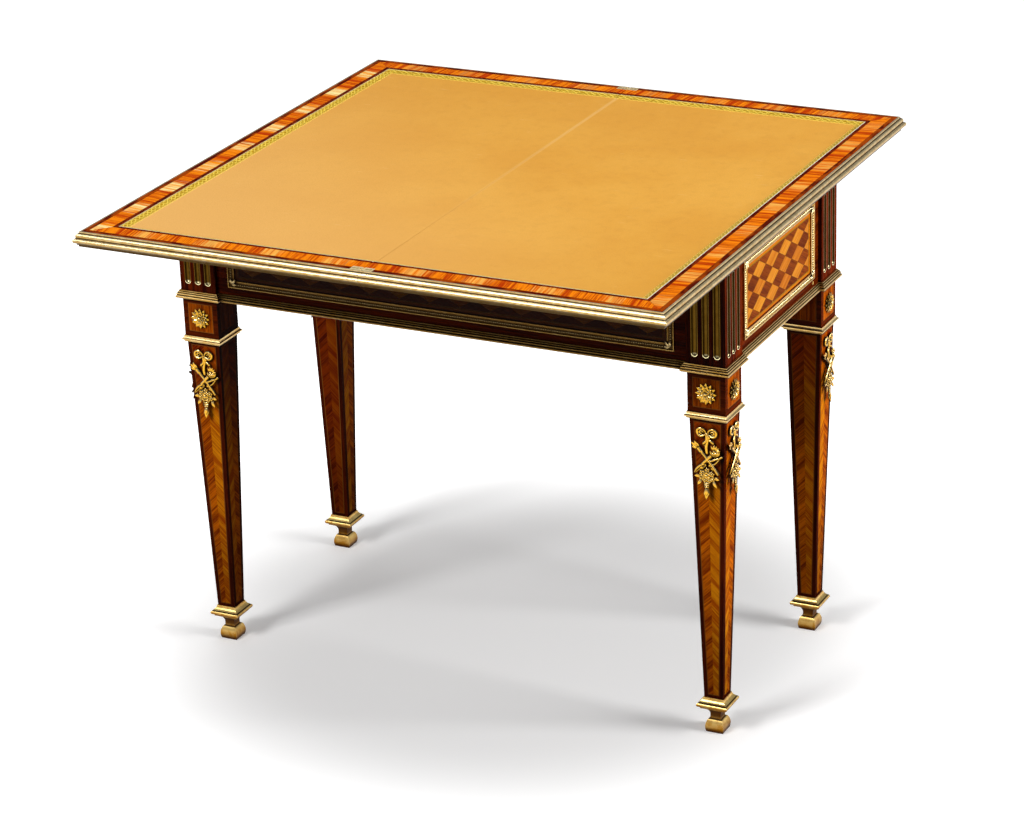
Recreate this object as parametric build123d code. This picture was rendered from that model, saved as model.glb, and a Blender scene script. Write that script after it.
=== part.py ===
from build123d import *
import math
import os

# Fold-over games table, shown open. Millimetres. The origin is on the floor under the
# middle of the table, +X to the right, +Y to the back, +Z up.

# Overall sizes
open_height = 750.0
leaf_length = 918.0
leaf_width = 459.0
leaf_thickness = 22.0
end_overhang = 20.0
front_overhang = 15.5
floor_level = 0.0
overrun = 5.0
snug_gap = 0.05
seat_gap = 0.1

# Folding top: brass edge, crossbanding and leather
brass_width = 10.0
band_width = 37.8
leather_drop = 4.0
leather_thickness = 1.6
leather_gap = 0.2
margin_width = 13.0
margin_bead_width = 1.6
margin_bead_rise = 0.4
margin_drop = 0.2

# Fold hinges
hinge_pitch = 4.0
fold_half_gap = 0.2
hinge_plate_length = 17.0
hinge_plate_width = 12.0
hinge_plate_thickness = 4.6
hinge_pin_radius = 0.8
link_radius = 1.5
link_width = 4.0
link_clearance = 0.3
link_bore_gap = 0.01
pin_end_gap = 0.3
hinge_screw_near = 7.3
hinge_screw_far = 12.9

# Countersunk wood screws
screw_head_radius = 2.4
screw_shank_radius = 1.2
screw_head_height = 1.7
screw_length = 13.0
screw_gap = 0.03
plate_screw_length = 14.0

# Swivel under the top
pivot_plate_side = 56.0
pivot_plate_thickness = 3.0
pivot_plate_screw_pitch = 40.0
pivot_bolt_radius = 6.0
pivot_bolt_tail = 18.0
bush_radius = 9.0
bush_flange_radius = 13.0
bush_flange_thickness = 2.0
swivel_clearance = 0.06
washer_radius = 13.0
washer_thickness = 2.0
washer_gap = 0.2
nut_across_flats = 19.0
nut_thickness = 10.0
nut_gap = 0.05
stop_peg_radius = 4.0
stop_peg_reach = 46.0
stop_peg_socket = 12.0
stop_slot_side_gap = 0.6
stop_slot_end_gap = 0.3
swivel_turn = 90.0

# Frieze: aprons, panels, pivot rail and well
felt_thickness = 1.5
felt_width = 14.0
felt_gap = 0.3
apron_height = 156.0
apron_thickness = 22.0
apron_setback = 6.0
tenon_length = 20.0
tenon_thickness = 8.0
tenon_height = 120.0
frieze_moulding_height = 12.0
frieze_moulding_reach = 7.0
bead_frame_margin = 19.5
bead_frame_width = 11.0
bead_frame_base = 24.0
bead_frame_height = 118.5
bead_frame_relief = 2.6
pearl_radius = 2.1
panel_recess = 3.5
panel_thickness = 3.0
rail_width = 120.0
rail_thickness = 22.0
rail_tongue = 6.0
rail_drop = 0.4
well_board_thickness = 8.0
well_board_lift = 20.0
partition_thickness = 12.0
partition_drop = 6.0
glue_block_side = 18.0
glue_block_length = 60.0
glue_block_inset = 90.0
catch_stud_radius = 2.6
catch_stud_reach = 2.4
catch_stud_inset = 24.0

# Legs
block_side = 60.0
rosette_block_side = 58.0
rosette_block_height = 66.5
shaft_top_side = 54.4
shaft_foot_side = 29.4
sabot_height = 57.0
flute_width = 10.5
flute_pitch = 17.0
flute_depth = 4.0
flute_wall = 0.8
flute_end_margin = 10.5
collar_height = 9.5
collar_drop = 4.0
collar_reach = 4.3
leg_tenon_side = 11.0
leg_tenon_length = 16.0

# Brass shoe, given as half widths and heights above the floor
shoe_lip_half = 16.0
shoe_cap_half = 21.2
shoe_cap_level = 49.5
shoe_groove_half = 20.2
shoe_groove_level = 48.8
shoe_torus_half = 24.0
shoe_torus_level = 45.6
shoe_torus_bottom = 42.2
shoe_step_half = 19.6
shoe_step_bottom = 39.6
shoe_neck_half = 8.2
shoe_neck_level = 25.0
shoe_neck_bottom = 21.0
shoe_pad_top_half = 11.0
shoe_pad_half = 14.2
shoe_pad_level = 10.0
shoe_pad_base_half = 13.0
shoe_pad_top_level = 19.5

# Gilt mounts on the legs
rosette_radius = 16.5
rosette_inner_radius = 11.0
rosette_step = 2.0
rosette_boss_radius = 4.2
petal_count = 16
petal_notch_share = 0.88
trophy_top_drop = 14.0
trophy_height = 112.0
trophy_width = 38.0
trophy_relief = 3.6
trophy_back = 1.2
trophy_stem = 3.0
ribbon_loop_tilt = 20.0
ribbon_loop_place_shares = (0.5, 0.075)
ribbon_loop_shares = (0.46, 0.36)
ribbon_eye_shares = (0.24, 0.15)
ribbon_thickness_share = 0.7

# Bars of the trophy: two places on it, then the radius at each as a share of its relief
trophy_bar_shares = (
    ((0.1, 0.09), (0.55, 0.2), 0.6, 0.5),
    ((0.0, 0.08), (0.0, 0.26), 0.7, 0.5),
    ((-0.9, 0.22), (-0.45, 0.34), 0.9, 1.3),
    ((-0.45, 0.34), (0.8, 0.66), 1.0, 0.6),
    ((0.8, 0.27), (0.35, 0.39), 1.5, 1.2),
    ((0.35, 0.39), (-0.85, 0.63), 1.0, 0.5),
    ((0.9, 0.42), (0.1, 0.52), 0.6, 0.7),
)

# Round parts of the trophy: place, then radius as a share of its relief. Knot, crossing,
# flowers and the drop of husks
trophy_ball_shares = (
    ((0.0, 0.08), 1.0),
    ((0.0, 0.47), 1.3),
    ((-0.45, 0.64), 1.0),
    ((0.0, 0.61), 1.1),
    ((0.45, 0.64), 1.0),
    ((-0.25, 0.68), 1.1),
    ((0.25, 0.68), 1.1),
    ((-0.62, 0.71), 0.8),
    ((0.62, 0.72), 0.9),
    ((0.0, 0.84), 0.9),
    ((0.0, 0.89), 1.1),
    ((0.0, 0.94), 0.8),
    ((0.0, 0.97), 0.5),
)
basket_corner_shares = ((-0.5, 0.68), (0.5, 0.68), (0.26, 0.82), (-0.26, 0.82))
basket_thickness_share = 0.8

# Values that follow from the sizes above
base_half_x = leaf_length / 2 - end_overhang
base_half_y = leaf_width / 2 - front_overhang
leg_x = base_half_x - block_side / 2
leg_y = base_half_y - block_side / 2
leaf_underside = open_height - leaf_thickness
frame_top = leaf_underside - felt_gap - felt_thickness
frieze_bottom = frame_top - apron_height
collar_level = frieze_bottom - rosette_block_height
pivot_x = leaf_width / 4
pivot_y = leaf_width / 4
wood_edge_x = leaf_width - brass_width
wood_edge_y = leaf_length / 2 - brass_width
banding_thickness = leather_drop + leather_thickness
core_top = open_height - banding_thickness
fold_radius = hinge_pitch / 2 - fold_half_gap
fold_axis_x = hinge_pitch / 2
fold_axis_z = open_height - fold_radius
apron_face_x = base_half_x - apron_setback
apron_face_y = base_half_y - apron_setback
apron_inner_x = apron_face_x - apron_thickness
apron_inner_y = apron_face_y - apron_thickness
span_x = (leg_x - block_side / 2) * 2
span_y = (leg_y - block_side / 2) * 2
rail_top = frame_top - rail_drop
rail_bottom = rail_top - rail_thickness
well_floor = frieze_bottom + well_board_lift
well_floor_top = well_floor + well_board_thickness

# Each side of the frieze: the length between the leg blocks and the plane of the apron's
# outer face, whose own X runs along the side, own Y is up and own Z points outwards
frieze_sides = {
    "front": (span_x, Plane(origin=(0, -apron_face_y, frieze_bottom), x_dir=(1, 0, 0), z_dir=(0, -1, 0))),
    "back": (span_x, Plane(origin=(0, apron_face_y, frieze_bottom), x_dir=(-1, 0, 0), z_dir=(0, 1, 0))),
    "left": (span_y, Plane(origin=(-apron_face_x, 0, frieze_bottom), x_dir=(0, -1, 0), z_dir=(-1, 0, 0))),
    "right": (span_y, Plane(origin=(apron_face_x, 0, frieze_bottom), x_dir=(0, 1, 0), z_dir=(1, 0, 0))),
}


def save(node, shape):
    """Write one node to its own STEP file."""
    shape.label = node
    export_step(shape, "parts/" + node + ".step")


def block(low, high):
    """A box between two corners."""
    sizes = [b - a for a, b in zip(low, high)]
    middle = [(a + b) / 2 for a, b in zip(low, high)]
    return Pos(*middle) * Box(*sizes)


def round_bar(radius, length):
    """A cylinder that stands on its own origin."""
    return Cylinder(radius, length, align=(Align.CENTER, Align.CENTER, Align.MIN))


def outline(start, *steps):
    """A closed face. A step is the next corner, or the pair (point passed, end) of an arc."""
    edges = []
    at = start
    for step in steps:
        if isinstance(step[0], tuple):
            edges.append(ThreePointArc(at, step[0], step[1]))
            at = step[1]
        else:
            edges.append(Line(at, step))
            at = step
    edges.append(Line(at, start))
    return make_face(Wire(edges))


def mitred_run(section, length, width, start, end):
    """A moulding along X whose section's own X points to +Y, within its width of the line that
    the length is measured on. An end of 1 is mitred for an outside corner, -1 for an inside
    corner, and 0 is cut square."""
    margin = width + overrun
    half = length / 2
    body = extrude(Plane.YZ * section, amount=half + margin, both=True)
    plan = outline(
        (-half + start * margin, -margin),
        (half - end * margin, -margin),
        (half + end * margin, margin),
        (-half - start * margin, margin),
    )
    return body & extrude(plan, amount=open_height, both=True)


def square_turned(section, reach):
    """A square piece whose four sides all have the same symmetrical section."""
    along = extrude(Plane.XZ * section, amount=reach, both=True)
    return along & (Rot(0, 0, 90) * along)


def mirrored_half(start, *steps):
    """A symmetrical face from the outline of its right half, which starts and ends on X = 0."""
    half = outline(start, *steps)
    return half + mirror(half, about=Plane.YZ)


def on_all_corners(shape):
    """The four copies of a piece made for the corner at +X and +Y."""
    back_left = mirror(shape, about=Plane.YZ)
    return {
        "back_right": shape,
        "back_left": back_left,
        "front_right": mirror(shape, about=Plane.XZ),
        "front_left": mirror(back_left, about=Plane.XZ),
    }


def shaft_half(level):
    """Half the width of a leg's tapered shaft at a height."""
    rise = (level - sabot_height) / (collar_level - sabot_height)
    return (shaft_foot_side + (shaft_top_side - shaft_foot_side) * rise) / 2


def flute(radius):
    """A round-ended bar that cuts a flute, or shapes the brass in it."""
    low = frieze_bottom + frieze_moulding_height + flute_end_margin + flute_width / 2
    high = frame_top - flute_end_margin - flute_width / 2
    bar = Pos(0, 0, low) * round_bar(radius, high - low)
    return bar + Pos(0, 0, low) * Sphere(radius) + Pos(0, 0, high) * Sphere(radius)


def flute_places():
    """Where the flutes of the corner at +X and +Y have their middles, three on each outer face."""
    out = flute_width / 2 - flute_depth
    places = []
    for step in (-1, 0, 1):
        places.append((base_half_x + out, leg_y + step * flute_pitch))
        places.append((leg_x + step * flute_pitch, base_half_y + out))
    return places


def make_leg():
    """One leg of the corner at +X and +Y: fluted block, rosette block, tapered shaft and the
    tenon that stands in the shoe."""
    upper = block(
        (leg_x - block_side / 2, leg_y - block_side / 2, frieze_bottom),
        (base_half_x, base_half_y, frame_top),
    )
    lower_half = rosette_block_side / 2
    rosette_block = block(
        (leg_x - lower_half, leg_y - lower_half, collar_level),
        (leg_x + lower_half, leg_y + lower_half, frieze_bottom + overrun),
    )
    top = Pos(leg_x, leg_y, collar_level) * Rectangle(shaft_top_side, shaft_top_side)
    foot = Pos(leg_x, leg_y, sabot_height) * Rectangle(shaft_foot_side, shaft_foot_side)
    shaft = loft([foot, top])
    tenon = Pos(leg_x, leg_y, sabot_height) * Box(
        leg_tenon_side, leg_tenon_side, leg_tenon_length, align=(Align.CENTER, Align.CENTER, Align.MAX)
    )
    leg = upper + rosette_block + shaft + tenon
    for x, y in flute_places():
        leg -= Pos(x, y, 0) * flute(flute_width / 2)
    middle = block_side / 2 - apron_setback - apron_thickness / 2
    half = tenon_thickness / 2 + seat_gap
    level = (frieze_bottom + frame_top) / 2
    tall = tenon_height / 2 + seat_gap
    deep = tenon_length + seat_gap
    side_x = leg_x - block_side / 2
    side_y = leg_y - block_side / 2
    leg -= block(
        (side_x - overrun, leg_y + middle - half, level - tall),
        (side_x + deep, leg_y + middle + half, level + tall),
    )
    leg -= block(
        (leg_x + middle - half, side_y - overrun, level - tall),
        (leg_x + middle + half, side_y + deep, level + tall),
    )
    return leg


def make_flute_linings():
    """The six brass linings of one corner, each a thin trough flush with the face."""
    within = block(
        (leg_x - block_side, leg_y - block_side, frieze_bottom),
        (base_half_x, base_half_y, frame_top),
    )
    linings = []
    for x, y in flute_places():
        trough = flute(flute_width / 2 - snug_gap) - flute(flute_width / 2 - flute_wall)
        linings.append((Pos(x, y, 0) * trough) & within)
    return linings


def make_sabot():
    """The brass shoe under one leg: moulded cap, narrow neck and a block that stands on the floor."""
    section = mirrored_half(
        (0, floor_level),
        (shoe_pad_base_half, floor_level),
        ((shoe_pad_half, shoe_pad_level), (shoe_pad_top_half, shoe_pad_top_level)),
        (shoe_neck_half, shoe_neck_bottom),
        (shoe_neck_half, shoe_neck_level),
        (
            (shoe_neck_half + (shoe_step_half - shoe_neck_half) * (1 - math.cos(math.pi / 4)),
             shoe_neck_level + (shoe_step_bottom - shoe_neck_level) * math.sin(math.pi / 4)),
            (shoe_step_half, shoe_step_bottom),
        ),
        (shoe_step_half, shoe_torus_bottom),
        ((shoe_torus_half, shoe_torus_level), (shoe_groove_half, shoe_groove_level)),
        (shoe_cap_half, shoe_cap_level),
        (
            ((shoe_cap_half + shoe_lip_half) / 2, (shoe_cap_level * 3 + sabot_height) / 4),
            (shoe_lip_half, sabot_height),
        ),
        (0, sabot_height),
    )
    shoe = square_turned(section, shoe_torus_half + overrun)
    side = leg_tenon_side + seat_gap * 2
    socket = Box(side, side, leg_tenon_length + seat_gap, align=(Align.CENTER, Align.CENTER, Align.MAX))
    return Pos(leg_x, leg_y, 0) * (shoe - Pos(0, 0, sabot_height) * socket)


def make_collar():
    """The square brass ring between the rosette block and the shaft."""
    inner = rosette_block_side / 2
    low = collar_level - collar_drop
    high = low + collar_height
    section = mirrored_half(
        (0, low),
        (inner + collar_reach / 3, low),
        (inner + collar_reach / 2, low + collar_height / 4),
        (inner + collar_reach, low + collar_height / 3),
        (inner + collar_reach, low + collar_height / 2),
        (
            (inner + collar_reach / 2, low + collar_height * 2 / 3),
            (inner + collar_reach / 3, high - collar_height / 8),
        ),
        (inner + collar_reach / 3, high),
        (0, high),
    )
    ring = square_turned(section, inner + collar_reach + overrun)
    side = rosette_block_side + snug_gap * 2
    return Pos(leg_x, leg_y, 0) * (ring - Pos(0, 0, collar_level) * Box(side, side, collar_height * 2))


def reeded_section():
    """The frieze moulding's section: three reeds, each further out than the one above it."""
    reach = frieze_moulding_reach
    tall = frieze_moulding_height
    return outline(
        (0, 0),
        (reach * 5 / 6, 0),
        ((reach, tall / 6), (reach * 5 / 6, tall / 3)),
        (reach * 2 / 3, tall * 3 / 8),
        ((reach * 5 / 6, tall / 2), (reach * 2 / 3, tall * 5 / 8)),
        (reach / 2, tall * 2 / 3),
        ((reach * 5 / 8, tall * 3 / 4), (reach / 2, tall * 5 / 6)),
        (reach / 3, tall * 5 / 6),
        (reach / 3, tall),
        (0, tall),
    )


def make_corner_moulding():
    """The frieze moulding where it breaks forward around one leg block."""
    reach = frieze_moulding_reach
    section = reeded_section()
    face = mitred_run(section, block_side, reach, 1, 1)
    short = apron_setback
    right_face = Pos(base_half_x, leg_y, frieze_bottom) * (Rot(0, 0, -90) * face)
    back_face = Pos(leg_x, base_half_y, frieze_bottom) * face
    side_x = leg_x - block_side / 2
    side_y = leg_y - block_side / 2
    right_return = Pos(base_half_x - short / 2, side_y, frieze_bottom) * (
        Rot(0, 0, 180) * mitred_run(section, short, reach, 1, -1)
    )
    back_return = Pos(side_x, base_half_y - short / 2, frieze_bottom) * (
        Rot(0, 0, 90) * mitred_run(section, short, reach, -1, 1)
    )
    return right_face + back_face + right_return + back_return


def make_frieze_moulding(span):
    """The straight frieze moulding of one side, mitred into the breaks at both ends."""
    run = mitred_run(reeded_section(), span, frieze_moulding_reach, -1, -1)
    return Rot(-90, 0, 180) * run


def make_apron(span):
    """One apron board, with its tenons and the pocket that the parquetry panel lies in."""
    board = block((-span / 2, 0, -apron_thickness), (span / 2, apron_height, 0))
    middle = apron_height / 2
    tenon_middle = -apron_thickness / 2
    for end in (-1, 1):
        tip = end * (span / 2 + tenon_length)
        board += block(
            (min(0, tip), middle - tenon_height / 2, tenon_middle - tenon_thickness / 2),
            (max(0, tip), middle + tenon_height / 2, tenon_middle + tenon_thickness / 2),
        )
    half = span / 2 - bead_frame_margin - bead_frame_width
    low = bead_frame_base + bead_frame_width
    high = bead_frame_base + bead_frame_height - bead_frame_width
    return board - block((-half, low, -panel_recess - panel_thickness), (half, high, overrun))


def make_panel(span):
    """The parquetry panel of one side, on the floor of the apron's pocket."""
    half = span / 2 - bead_frame_margin - bead_frame_width - seat_gap
    low = bead_frame_base + bead_frame_width + seat_gap
    high = bead_frame_base + bead_frame_height - bead_frame_width - seat_gap
    return block((-half, low, -panel_recess - panel_thickness), (half, high, -panel_recess))


def bead_section():
    """The gilt frame's section from its outer edge inwards: fillet, row of pearls, inner fillet."""
    width = bead_frame_width
    tall = bead_frame_relief
    bed = tall / 3
    middle = width / 2
    return outline(
        (0, 0),
        (width, 0),
        (width, tall * 2 / 3),
        (width * 5 / 6, tall * 2 / 3),
        (width * 4 / 5, bed),
        (middle + pearl_radius, bed),
        ((middle, bed + pearl_radius), (middle - pearl_radius, bed)),
        (width / 5, bed),
        (width / 6, tall),
        (0, tall),
    )


def make_bead_frame(span):
    """The gilt frame around one panel, four mitred lengths joined into one piece."""
    length = span - bead_frame_margin * 2
    section = bead_section()
    long_run = Pos(0, -bead_frame_height / 2, 0) * mitred_run(section, length, bead_frame_width, -1, -1)
    short_run = Pos(0, -length / 2, 0) * mitred_run(section, bead_frame_height, bead_frame_width, -1, -1)
    ring = long_run + Rot(0, 0, 180) * long_run + Rot(0, 0, 90) * short_run + Rot(0, 0, -90) * short_run
    return Pos(0, bead_frame_base + bead_frame_height / 2, 0) * ring


def make_rosette():
    """A gilt daisy: two rings of petals and a domed middle, made flat on its own origin."""
    layers = None
    for number, radius in enumerate((rosette_radius, rosette_inner_radius)):
        edges = []
        notch = radius * petal_notch_share
        for petal in range(petal_count):
            angles = [math.tau * (petal + part / 2 + number / 2) / petal_count for part in (0, 1, 2)]
            radii = (notch, radius, notch)
            points = [(r * math.cos(a), r * math.sin(a)) for r, a in zip(radii, angles)]
            edges.append(ThreePointArc(*points))
        layer = extrude(make_face(Wire(edges)), amount=rosette_step * (number + 1))
        layers = layer if layers is None else layers + layer
    dome = Pos(0, 0, rosette_step * 2) * Sphere(rosette_boss_radius)
    below = block((-rosette_radius, -rosette_radius, -rosette_radius), (rosette_radius, rosette_radius, 0))
    return layers + (dome - below)


def slanted_bar(start, end, radius_start, radius_end):
    """A tapered round bar that lies across the leg's face between two points."""
    run = Vector(end[0] - start[0], end[1] - start[1], 0)
    bar = Cone(radius_start, radius_end, run.length, align=(Align.CENTER, Align.CENTER, Align.MIN))
    return Plane(origin=(*start, 0), z_dir=run) * bar


def on_trophy(shares):
    """A place on the trophy, from shares of half its width and of its height below the top."""
    return (shares[0] * trophy_width / 2, -shares[1] * trophy_height)


def make_trophy():
    """The gilt trophy of one leg face: bow of ribbon, crossed torch and quiver, flower basket
    and a drop of husks. It is made flat, with the top of the bow at its own origin."""
    wide = trophy_width / 2
    thick = trophy_relief
    piece = block((-trophy_stem, -trophy_height + thick, 0), (trophy_stem, -thick, trophy_back))
    loop = Ellipse(*[share * wide for share in ribbon_loop_shares])
    loop -= Ellipse(*[share * wide for share in ribbon_eye_shares])
    loop = extrude(loop, amount=thick * ribbon_thickness_share)
    for side in (-1, 1):
        x, y = on_trophy(ribbon_loop_place_shares)
        piece += Pos(side * x, y, 0) * Rot(0, 0, side * ribbon_loop_tilt) * loop
    for start, end, share_start, share_end in trophy_bar_shares:
        piece += slanted_bar(on_trophy(start), on_trophy(end), thick * share_start, thick * share_end)
    for place, size in trophy_ball_shares:
        piece += Pos(*on_trophy(place), 0) * Sphere(thick * size)
    basket = outline(*[on_trophy(place) for place in basket_corner_shares])
    piece += extrude(basket, amount=thick * basket_thickness_share)
    below = block((-trophy_width, -trophy_height * 2, -trophy_height), (trophy_width, trophy_height, 0))
    return piece - below


def leg_face(level, facing):
    """The plane of a leg's outer face at a height, for the corner at +X and +Y. Its own Y is up
    along the face and its own Z points outwards."""
    on_shaft = level < collar_level
    half = shaft_half(level) if on_shaft else rosette_block_side / 2
    lean = 0
    if on_shaft:
        lean = math.atan((shaft_top_side - shaft_foot_side) / 2 / (collar_level - sabot_height))
    if facing == "right":
        return Plane(
            origin=(leg_x + half, leg_y, level), x_dir=(0, 1, 0), z_dir=(math.cos(lean), 0, -math.sin(lean))
        )
    return Plane(
        origin=(leg_x, leg_y + half, level), x_dir=(-1, 0, 0), z_dir=(0, math.cos(lean), -math.sin(lean))
    )


def ease_fold(shape):
    """Rounds a leaf piece's upper fold edge about the hinge axis, so that the leaves can fold."""
    spread = fold_radius * math.sqrt(0.5)
    waste = outline(
        (fold_half_gap - overrun, fold_axis_z),
        (fold_half_gap, fold_axis_z),
        ((fold_axis_x - spread, fold_axis_z + spread), (fold_axis_x, open_height)),
        (fold_axis_x, open_height + overrun),
        (fold_half_gap - overrun, open_height + overrun),
    )
    return shape - extrude(Plane.XZ * waste, amount=leaf_length, both=True)


def hinge_places():
    """The two ends of the fold, where the plates lie against the brass edge."""
    place = wood_edge_y - hinge_plate_width / 2 - snug_gap
    return (-place, place)


def hinge_plate_blank(gap):
    """The space that one hinge plate takes up, at the fold's middle."""
    half = hinge_plate_width / 2 + gap
    return block(
        (fold_half_gap, -half, open_height - hinge_plate_thickness - gap),
        (hinge_plate_length + gap, half, open_height),
    )


def wood_screw(length, gap):
    """A countersunk screw with its head flush at the origin, pointing down."""
    head = Cone(screw_shank_radius + gap, screw_head_radius + gap, screw_head_height)
    shank = round_bar(screw_shank_radius + gap, length)
    return Pos(0, 0, -screw_head_height / 2) * head + Pos(0, 0, -length) * shank


def hinge_screw_places():
    """Where the hinge screws of the right leaf stand."""
    return [(x, y) for y in hinge_places() for x in (hinge_screw_near, hinge_screw_far)]


def make_hinge_plate():
    """One brass hinge plate of the right leaf, with its slot for the link and bore for the pin."""
    plate = ease_fold(hinge_plate_blank(0))
    deep = link_radius + link_clearance
    half = link_width / 2 + link_clearance / 2
    plate -= block(
        (fold_half_gap - overrun, -half, fold_axis_z - deep),
        (fold_axis_x + deep, half, open_height + overrun),
    )
    bore = Cylinder(hinge_pin_radius + snug_gap, hinge_plate_width + overrun, rotation=(90, 0, 0))
    plate -= Pos(fold_axis_x, 0, fold_axis_z) * bore
    for x in (hinge_screw_near, hinge_screw_far):
        plate -= Pos(x, 0, open_height) * wood_screw(screw_length, screw_gap)
    return plate


def make_hinge_link():
    """One link that joins the two plates of a hinge."""
    bar = SlotCenterToCenter(hinge_pitch, link_radius * 2)
    link = extrude(bar, amount=link_width / 2, both=True)
    bore = Cylinder(hinge_pin_radius + link_bore_gap, link_width + overrun)
    for side in (-1, 1):
        link -= Pos(side * fold_axis_x, 0, 0) * bore
    return Pos(0, 0, fold_axis_z) * Rot(90, 0, 0) * link


def house_hinges(shape):
    """A piece of the leaf with its housings for the hinge plates and the holes for their screws."""
    for y in hinge_places():
        shape -= Pos(0, y, 0) * hinge_plate_blank(snug_gap)
    for x, y in hinge_screw_places():
        shape -= Pos(x, y, open_height) * wood_screw(screw_length, screw_gap)
    return ease_fold(shape)


def make_leaf_core():
    """The leaf's board, from the underside up to the bed that the banding and leather lie on."""
    core = block((fold_half_gap, -wood_edge_y, leaf_underside), (wood_edge_x, wood_edge_y, core_top))
    return house_hinges(core)


def make_banding():
    """The three mitred strips of crossbanding of the right leaf."""
    strip = outline((-band_width, core_top), (0, core_top), (0, open_height), (-band_width, open_height))
    side = mitred_run(strip, wood_edge_y * 2, band_width, 1, 1)
    end_length = wood_edge_x - fold_half_gap
    end_middle = (wood_edge_x + fold_half_gap) / 2
    back = mitred_run(strip, end_length, band_width, 0, 1)
    front = mitred_run(strip, end_length, band_width, 1, 0)
    return [
        Pos(wood_edge_x, 0, 0) * Rot(0, 0, -90) * side,
        Pos(end_middle, wood_edge_y, 0) * back,
        Pos(end_middle, -wood_edge_y, 0) * Rot(0, 0, 180) * front,
    ]


def edge_section():
    """The brass edge's section from the wood outwards: flush lip, broad upper member, large
    roll, and two fillets that step back in under it."""
    top = open_height
    low = leaf_underside
    out = brass_width
    tall = leaf_thickness
    return outline(
        (0, low),
        (out * 0.36, low),
        (out * 0.36, low + tall * 0.11),
        (out * 0.54, low + tall * 0.13),
        (out * 0.54, low + tall * 0.24),
        ((out, top - tall * 0.6), (out * 0.64, top - tall * 0.42)),
        (out * 0.62, top - tall * 0.38),
        ((out * 0.6, top - tall * 0.2), (out * 0.36, top - tall * 0.1)),
        (out * 0.28, top - tall * 0.1),
        (out * 0.26, top),
        (0, top),
    )


def make_leaf_moulding():
    """The three mitred lengths of brass edge of the right leaf."""
    section = edge_section()
    gap = snug_gap
    side = mitred_run(section, (wood_edge_y + gap) * 2, brass_width, 1, 1)
    end_length = wood_edge_x + gap - fold_half_gap
    end_middle = (wood_edge_x + gap + fold_half_gap) / 2
    back = mitred_run(section, end_length, brass_width, 0, 1)
    front = mitred_run(section, end_length, brass_width, 1, 0)
    return [
        Pos(wood_edge_x, 0, 0) * Rot(0, 0, -90) * side,
        ease_fold(Pos(end_middle, wood_edge_y, 0) * back),
        ease_fold(Pos(end_middle, -wood_edge_y, 0) * Rot(0, 0, 180) * front),
    ]


def margin_section():
    """The leather margin's section: a bead beside the crossbanding, then a slope down to the field."""
    bead_top = open_height - margin_drop
    bead_side = bead_top - margin_bead_rise
    return outline(
        (-margin_width, core_top),
        (0, core_top),
        (0, bead_side),
        ((-margin_bead_width / 2, bead_top), (-margin_bead_width, bead_side)),
        (-margin_width, core_top + leather_thickness),
    )


def make_leather():
    """The right leaf's leather in its shallow tray: the field, and the sloping tooled margin
    that rises to the crossbanding on three sides."""
    edge_x = wood_edge_x - band_width - leather_gap
    edge_y = wood_edge_y - band_width - leather_gap
    section = margin_section()
    side = mitred_run(section, edge_y * 2, margin_width, 1, 1)
    end_length = edge_x - fold_half_gap
    end_middle = (edge_x + fold_half_gap) / 2
    back = mitred_run(section, end_length, margin_width, 0, 1)
    front = mitred_run(section, end_length, margin_width, 1, 0)
    field = block(
        (fold_half_gap, margin_width - edge_y, core_top),
        (edge_x - margin_width, edge_y - margin_width, core_top + leather_thickness),
    )
    return [
        field,
        Pos(edge_x, 0, 0) * Rot(0, 0, -90) * side,
        ease_fold(Pos(end_middle, edge_y, 0) * back),
        ease_fold(Pos(end_middle, -edge_y, 0) * Rot(0, 0, 180) * front),
    ]


def stop_slot(radius, turn_start, turn):
    """A bent slot about the pivot that a round peg of the given radius fills."""
    middle = Pos(stop_peg_reach, 0) * Circle(radius)
    ring = Circle(stop_peg_reach + radius) - Circle(stop_peg_reach - radius)
    far = stop_peg_reach * 2
    half = math.radians(turn / 2)
    wedge = outline(
        (0, 0),
        (far * math.cos(half), -far * math.sin(half)),
        (far * 2, 0),
        (far * math.cos(half), far * math.sin(half)),
    )
    middle_turn = turn_start + turn / 2
    slot = Rot(0, 0, middle_turn) * (ring & wedge)
    slot += Rot(0, 0, turn_start) * middle
    slot += Rot(0, 0, turn_start + turn) * middle
    return slot


def peg_place():
    """The stop peg's middle while the top is open."""
    angle = math.radians(swivel_turn / 2)
    return (pivot_x + stop_peg_reach * math.cos(angle), pivot_y + stop_peg_reach * math.sin(angle))


def make_pivot_rail():
    """The board across the frame that carries the swivel, with its bush hole and stop slot."""
    rail = rail_blank(0)
    bush_hole = round_bar(bush_radius + snug_gap, rail_thickness + overrun * 2)
    rail -= Pos(pivot_x, pivot_y, rail_bottom - overrun) * bush_hole
    flange = round_bar(bush_flange_radius + snug_gap, bush_flange_thickness + overrun)
    rail -= Pos(pivot_x, pivot_y, rail_top - bush_flange_thickness) * flange
    end_turn = math.degrees(stop_slot_end_gap / stop_peg_reach)
    slot = stop_slot(stop_peg_radius, -swivel_turn / 2 - end_turn, swivel_turn + end_turn * 2)
    wide = stop_peg_radius + stop_slot_side_gap
    slot += stop_slot(wide, -swivel_turn / 2 + end_turn, swivel_turn - end_turn * 2)
    cut = extrude(slot, amount=rail_thickness + overrun * 2)
    return rail - Pos(pivot_x, pivot_y, rail_bottom - overrun) * cut


def rail_blank(gap):
    """The space that the pivot rail takes up, with its two tongues."""
    half = rail_width / 2 + gap
    long = apron_inner_y + rail_tongue + gap
    return block(
        (pivot_x - half, -long, rail_bottom - gap),
        (pivot_x + half, long, rail_top + (overrun if gap else 0)),
    )


def swivel_screw_places():
    """The four screws of the swivel plate."""
    half = pivot_plate_screw_pitch / 2
    return [(pivot_x + sx * half, pivot_y + sy * half) for sx in (-1, 1) for sy in (-1, 1)]


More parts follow.
